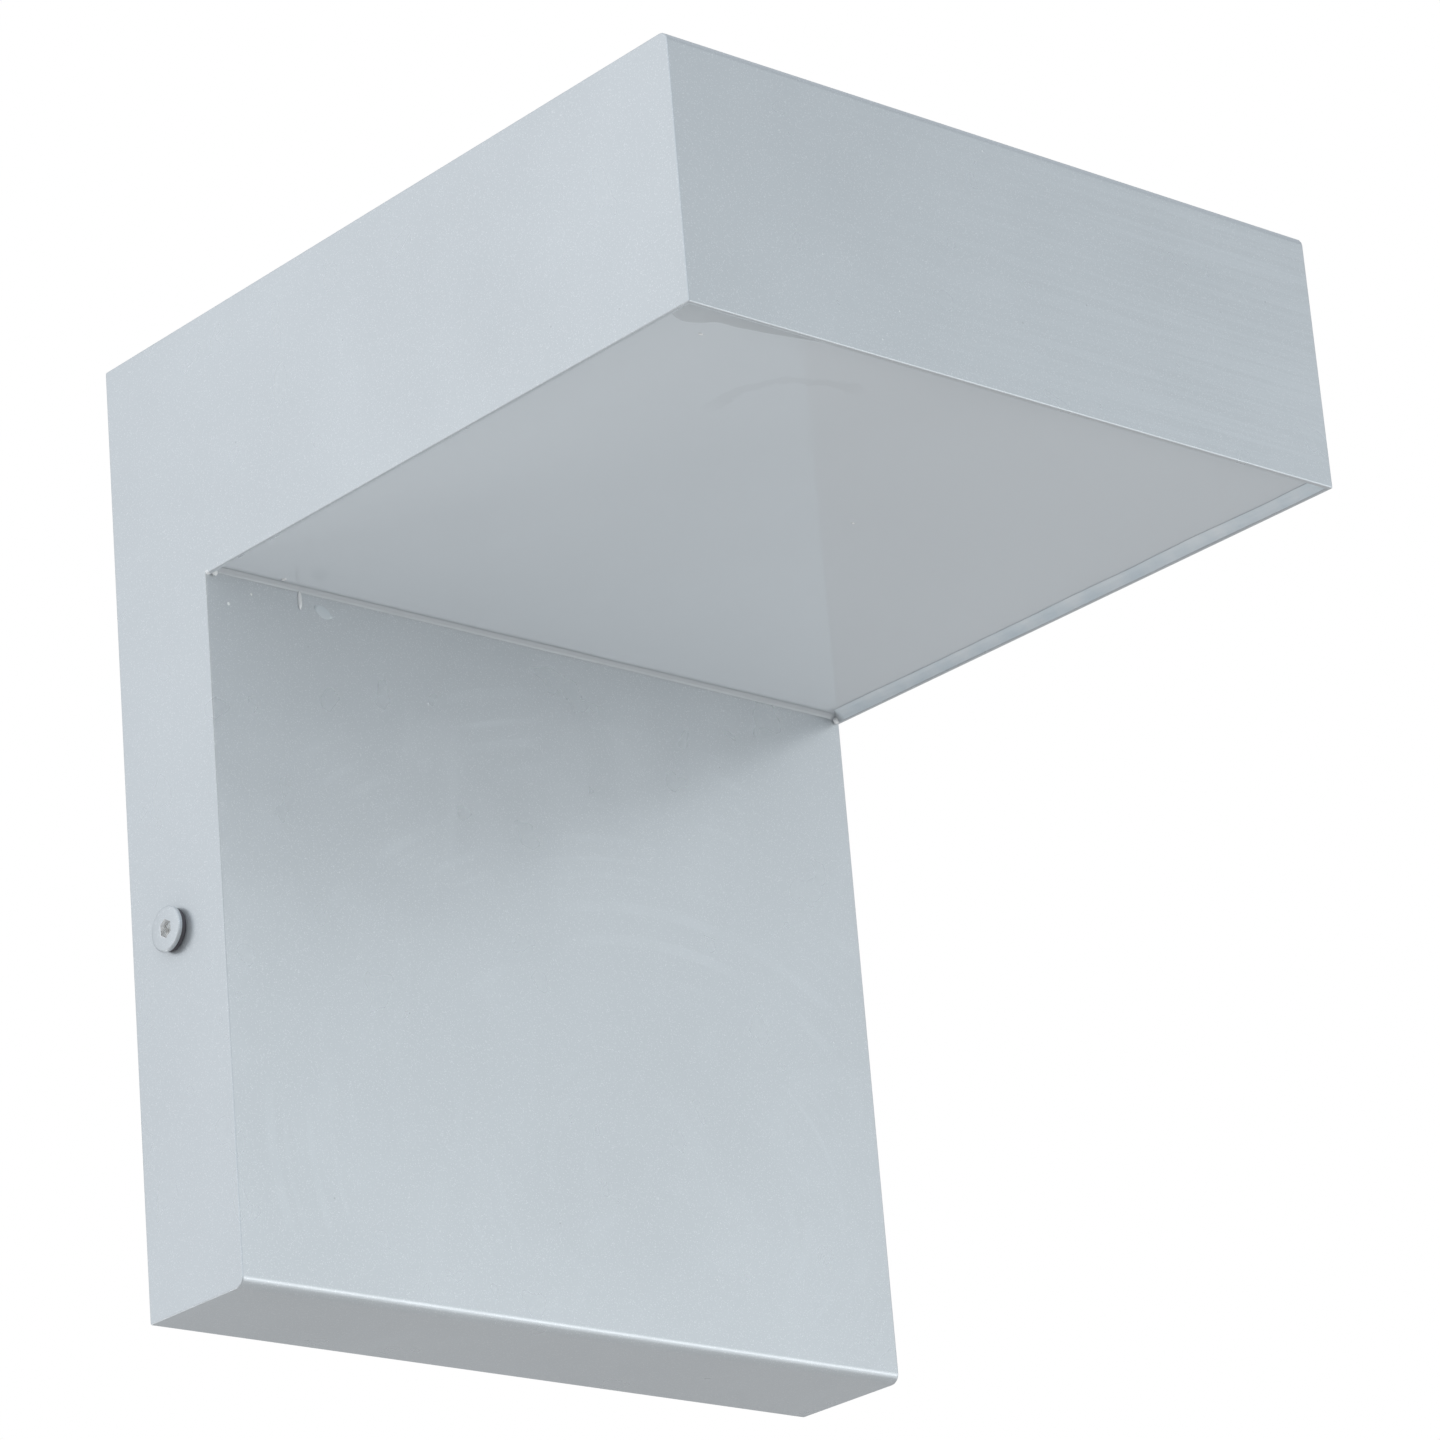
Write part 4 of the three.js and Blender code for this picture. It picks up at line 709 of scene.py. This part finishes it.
def make_screw(side, outward):
    """A flat-headed screw with a socket, a rounded rim and a real thread. Its axis lies along X."""
    node = f"screw_{side}"
    low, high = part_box(node)
    centre_y, centre_z = (low.y + high.y) / 2, (low.z + high.z) / 2
    face = high.x if outward > 0 else low.x
    tip = low.x if outward > 0 else high.x
    radius = (high.z - low.z) / 2
    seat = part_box(f"washer_{side}")[1 if outward > 0 else 0].x + outward * 0.05 * MM
    head_height = abs(face - seat)

    def ring(points, depth):
        """points at that depth below the head's face."""
        return [(face - outward * depth, centre_y + y, centre_z + z) for y, z in points]

    sections = [ring(hexagon(0.02 * MM, SCREW_SIDES), SOCKET_DEPTH + 0.5 * MM)]
    sections.append(ring(hexagon(SOCKET_HALF * 0.98, SCREW_SIDES), SOCKET_DEPTH))
    sections.append(ring(hexagon(SOCKET_HALF, SCREW_SIDES), SOCKET_DEPTH - 0.1 * MM))
    sections.append(ring(hexagon(SOCKET_HALF, SCREW_SIDES), SOCKET_CHAMFER))
    sections.append(ring(hexagon(SOCKET_HALF + 0.05 * MM, SCREW_SIDES), 0.06 * MM))
    sections.append(ring(hexagon(SOCKET_HALF + SOCKET_CHAMFER, SCREW_SIDES), 0.0))
    for k in range(7):
        turn = math.pi / 2 * k / 6
        out = radius - HEAD_ROUNDING * (1 - math.sin(turn))
        sections.append(ring(circle(out, SCREW_SIDES), HEAD_ROUNDING * (1 - math.cos(turn))))
    sections.append(ring(circle(radius, SCREW_SIDES), head_height - HEAD_CHAMFER))
    sections.append(ring(circle(radius - HEAD_CHAMFER, SCREW_SIDES), head_height))
    length = abs(face - tip) - head_height
    steps = round(length / THREAD_PITCH * THREAD_STEPS)
    for k in range(steps + 1):
        down = length * k / steps
        points = []
        for i in range(SCREW_SIDES):
            angle = math.tau * i / SCREW_SIDES
            turns = down / THREAD_PITCH - outward * angle / math.tau
            tooth = 1 - abs(2 * (turns % 1) - 1)
            fade = min(1, max(0, (down - THREAD_START) / (1 * MM)))
            reach = SHANK_RADIUS - THREAD_DEPTH * (1 - tooth) * fade
            reach = min(reach, SHANK_RADIUS - POINT_CHAMFER + (length - down))
            points.append((reach * math.cos(angle), reach * math.sin(angle)))
        sections.append(ring(points, head_height + down))
    bm = bmesh.new()
    stitch(bm, sections)
    screw = piece(f"side_screw_{side}", mesh_of(bm, node), node, smooth=28)
    screw.data.materials.append(BARE_STEEL)
    for facet in screw.data.polygons:
        reach = math.hypot(facet.center.y - centre_y, facet.center.z - centre_z)
        depth = abs(facet.center.x - face)
        in_socket = reach < SOCKET_HALF * 1.3 and depth > 0.02 * MM
        if in_socket or depth > head_height:
            facet.material_index = 1
    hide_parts(node)


def make_washer(side):
    """A rubber washer, squeezed a little so that its rim bulges."""
    node = f"washer_{side}"
    low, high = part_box(node)
    centre_y, centre_z = (low.y + high.y) / 2, (low.z + high.z) / 2
    outer = (high.z - low.z) / 2
    middle, half = (low.x + high.x) / 2, (high.x - low.x) / 2
    sections = []
    for k in range(13):
        turn = -math.pi / 2 + math.pi * k / 12
        reach = outer - WASHER_BULGE * (1 - math.cos(turn))
        sections.append((middle + half * math.sin(turn), reach))
    for k in range(7):
        turn = math.pi / 2 - math.pi * k / 6
        reach = WASHER_BORE_RADIUS + 0.1 * MM * (1 - math.cos(turn))
        sections.append((middle + half * math.sin(turn), reach))
    rings = []
    for x, reach in sections:
        rings.append([(x, centre_y + y, centre_z + z) for y, z in circle(reach, SCREW_SIDES)])
    bm = bmesh.new()
    stitch(bm, rings, closed=True)
    washer = piece(f"rubber_washer_{side}", mesh_of(bm, node), node, smooth=60)
    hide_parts(node)


# Leads ---------------------------------------------------------------------------------------------------

LEAD_SIDES = 16


def centreline(node):
    """The middle of each ring of the node's tube, from one end to the other, and the tube's radius.

    Each ring is a set, so its places are sorted, or their sum would change in its last digit each run.
    """
    bm = whole_faces(node)
    ends = [face for face in bm.faces if len(face.verts) >= 8]
    ring = set(ends[0].verts)
    seen, middles, radius = set(), [], 0.0
    while ring:
        places = sorted(v.co[:] for v in ring)
        middle = sum((Vector(place) for place in places), Vector()) / len(places)
        radius = radius or max((Vector(place) - middle).length for place in places)
        middles.append(middle)
        seen |= ring
        ring = {e.other_vert(v) for v in ring for e in v.link_edges} - seen
    bm.free()
    return middles, radius


def make_lead(node):
    """A round, smooth lead along the CAD tube's own line."""
    middles, radius = centreline(node)
    line = []
    for i in range(len(middles) - 1):
        a, b, c, d = (middles[min(max(i + k, 0), len(middles) - 1)] for k in (-1, 0, 1, 2))
        for k in range(3):
            t = k / 3
            line.append(0.5 * (2 * b + (c - a) * t + (2 * a - 5 * b + 4 * c - d) * t * t
                               + (3 * b - a - 3 * c + d) * t ** 3))
    line.append(middles[-1])
    rings = []
    across = None
    for i, place in enumerate(line):
        along = (line[min(i + 1, len(line) - 1)] - line[max(i - 1, 0)]).normalized()
        start = across if across is not None else along.orthogonal()
        across = (start - along * start.dot(along)).normalized()
        up = along.cross(across)
        rings.append([place + across * x + up * y for x, y in circle(radius, LEAD_SIDES)])
    bm = bmesh.new()
    stitch(bm, rings)
    mesh = mesh_of(bm, node)
    stripe = mesh.attributes.new("across", "FLOAT", "POINT")
    stripe.data.foreach_set("value", [x for _ in rings for x, _ in circle(1, LEAD_SIDES)])
    lead = piece(f"{node}_sleeve", mesh, node, smooth=60)
    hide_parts(node)


# Everything else: the CAD solid with its edges rounded ---------------------------------------------------

ROUNDINGS = {  # millimetres
    "wall_bracket": 0.3, "cable_grommet": 0.35, "panel_frame": 0.15, "reflector": 0.12, "led_tray": 0.2,
    "led_board": 0.1, "led_connector": 0.25, "gear_plate": 0.15, "driver": 0.5, "terminal_block": 0.35,
    "cord_clamp": 0.4, "earth_lug": 0.1, "earth_screw": 0.15,
}
FAMILY_ROUNDINGS = {  # millimetres, for pieces whose names differ only in what follows the last _
    "tray_spacer": 0.2, "tray_nut": 0.2, "board_screw": 0.12, "gear_nut": 0.2, "driver_screw": 0.12,
    "clamp_screw": 0.12, "terminal_screw": 0.1, "nut": 0.25, "led": 0.1,
}


def make_the_rest(done):
    for node in sorted(frame["nodes"]):
        if node in done:
            continue
        family = node.rsplit("_", 1)[0]
        rounding = ROUNDINGS.get(node, FAMILY_ROUNDINGS.get(family))
        rounded = piece(f"{node}_finished", rounded_copy(node, rounding * MM), node)
        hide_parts(node)


def make_ground():
    """A pale floor, well below the lantern."""
    bm = bmesh.new()
    bmesh.ops.create_grid(bm, x_segments=8, y_segments=8, size=GROUND_HALF_WIDTH)
    ground_mesh = bpy.data.meshes.new("ground")
    bm.to_mesh(ground_mesh)
    bm.free()
    ground = bpy.data.objects.new("ground", ground_mesh)
    bpy.context.scene.collection.objects.link(ground)
    ground.location.z = GROUND_HEIGHT
    ground_mesh.materials.append(pale_paper())


# ---------------------------------------------------------------------------------------------------
# The scene

make_camera()
make_world()
make_casing()
make_panel()
make_bead()
make_drops()
make_smear()
make_patch()
for side, outward in (("left", -1), ("right", 1)):
    make_screw(side, outward)
    make_washer(side)
LEADS = [node for node in frame["nodes"] if node.endswith("_wire")]
for node in LEADS:
    make_lead(node)
make_the_rest({"casing", "diffuser_panel", "silicone_bead", "screw_left", "screw_right", "washer_left",
               "washer_right", *LEADS})

make_ground()
make_softbox("low", (1.2, -1.44, -0.74), 1.2, 2.65, (0.95, 1.0, 1.02))
make_softbox("spark", (0.35, -1.5, 0.35), 0.12, 0.3, (1.0, 1.0, 1.0))
make_softbox("rim", (-0.5, 1.2, -0.85), 0.5, 1.6, (0.95, 0.98, 1.0))

bpy.context.scene.view_settings.view_transform = "Standard"
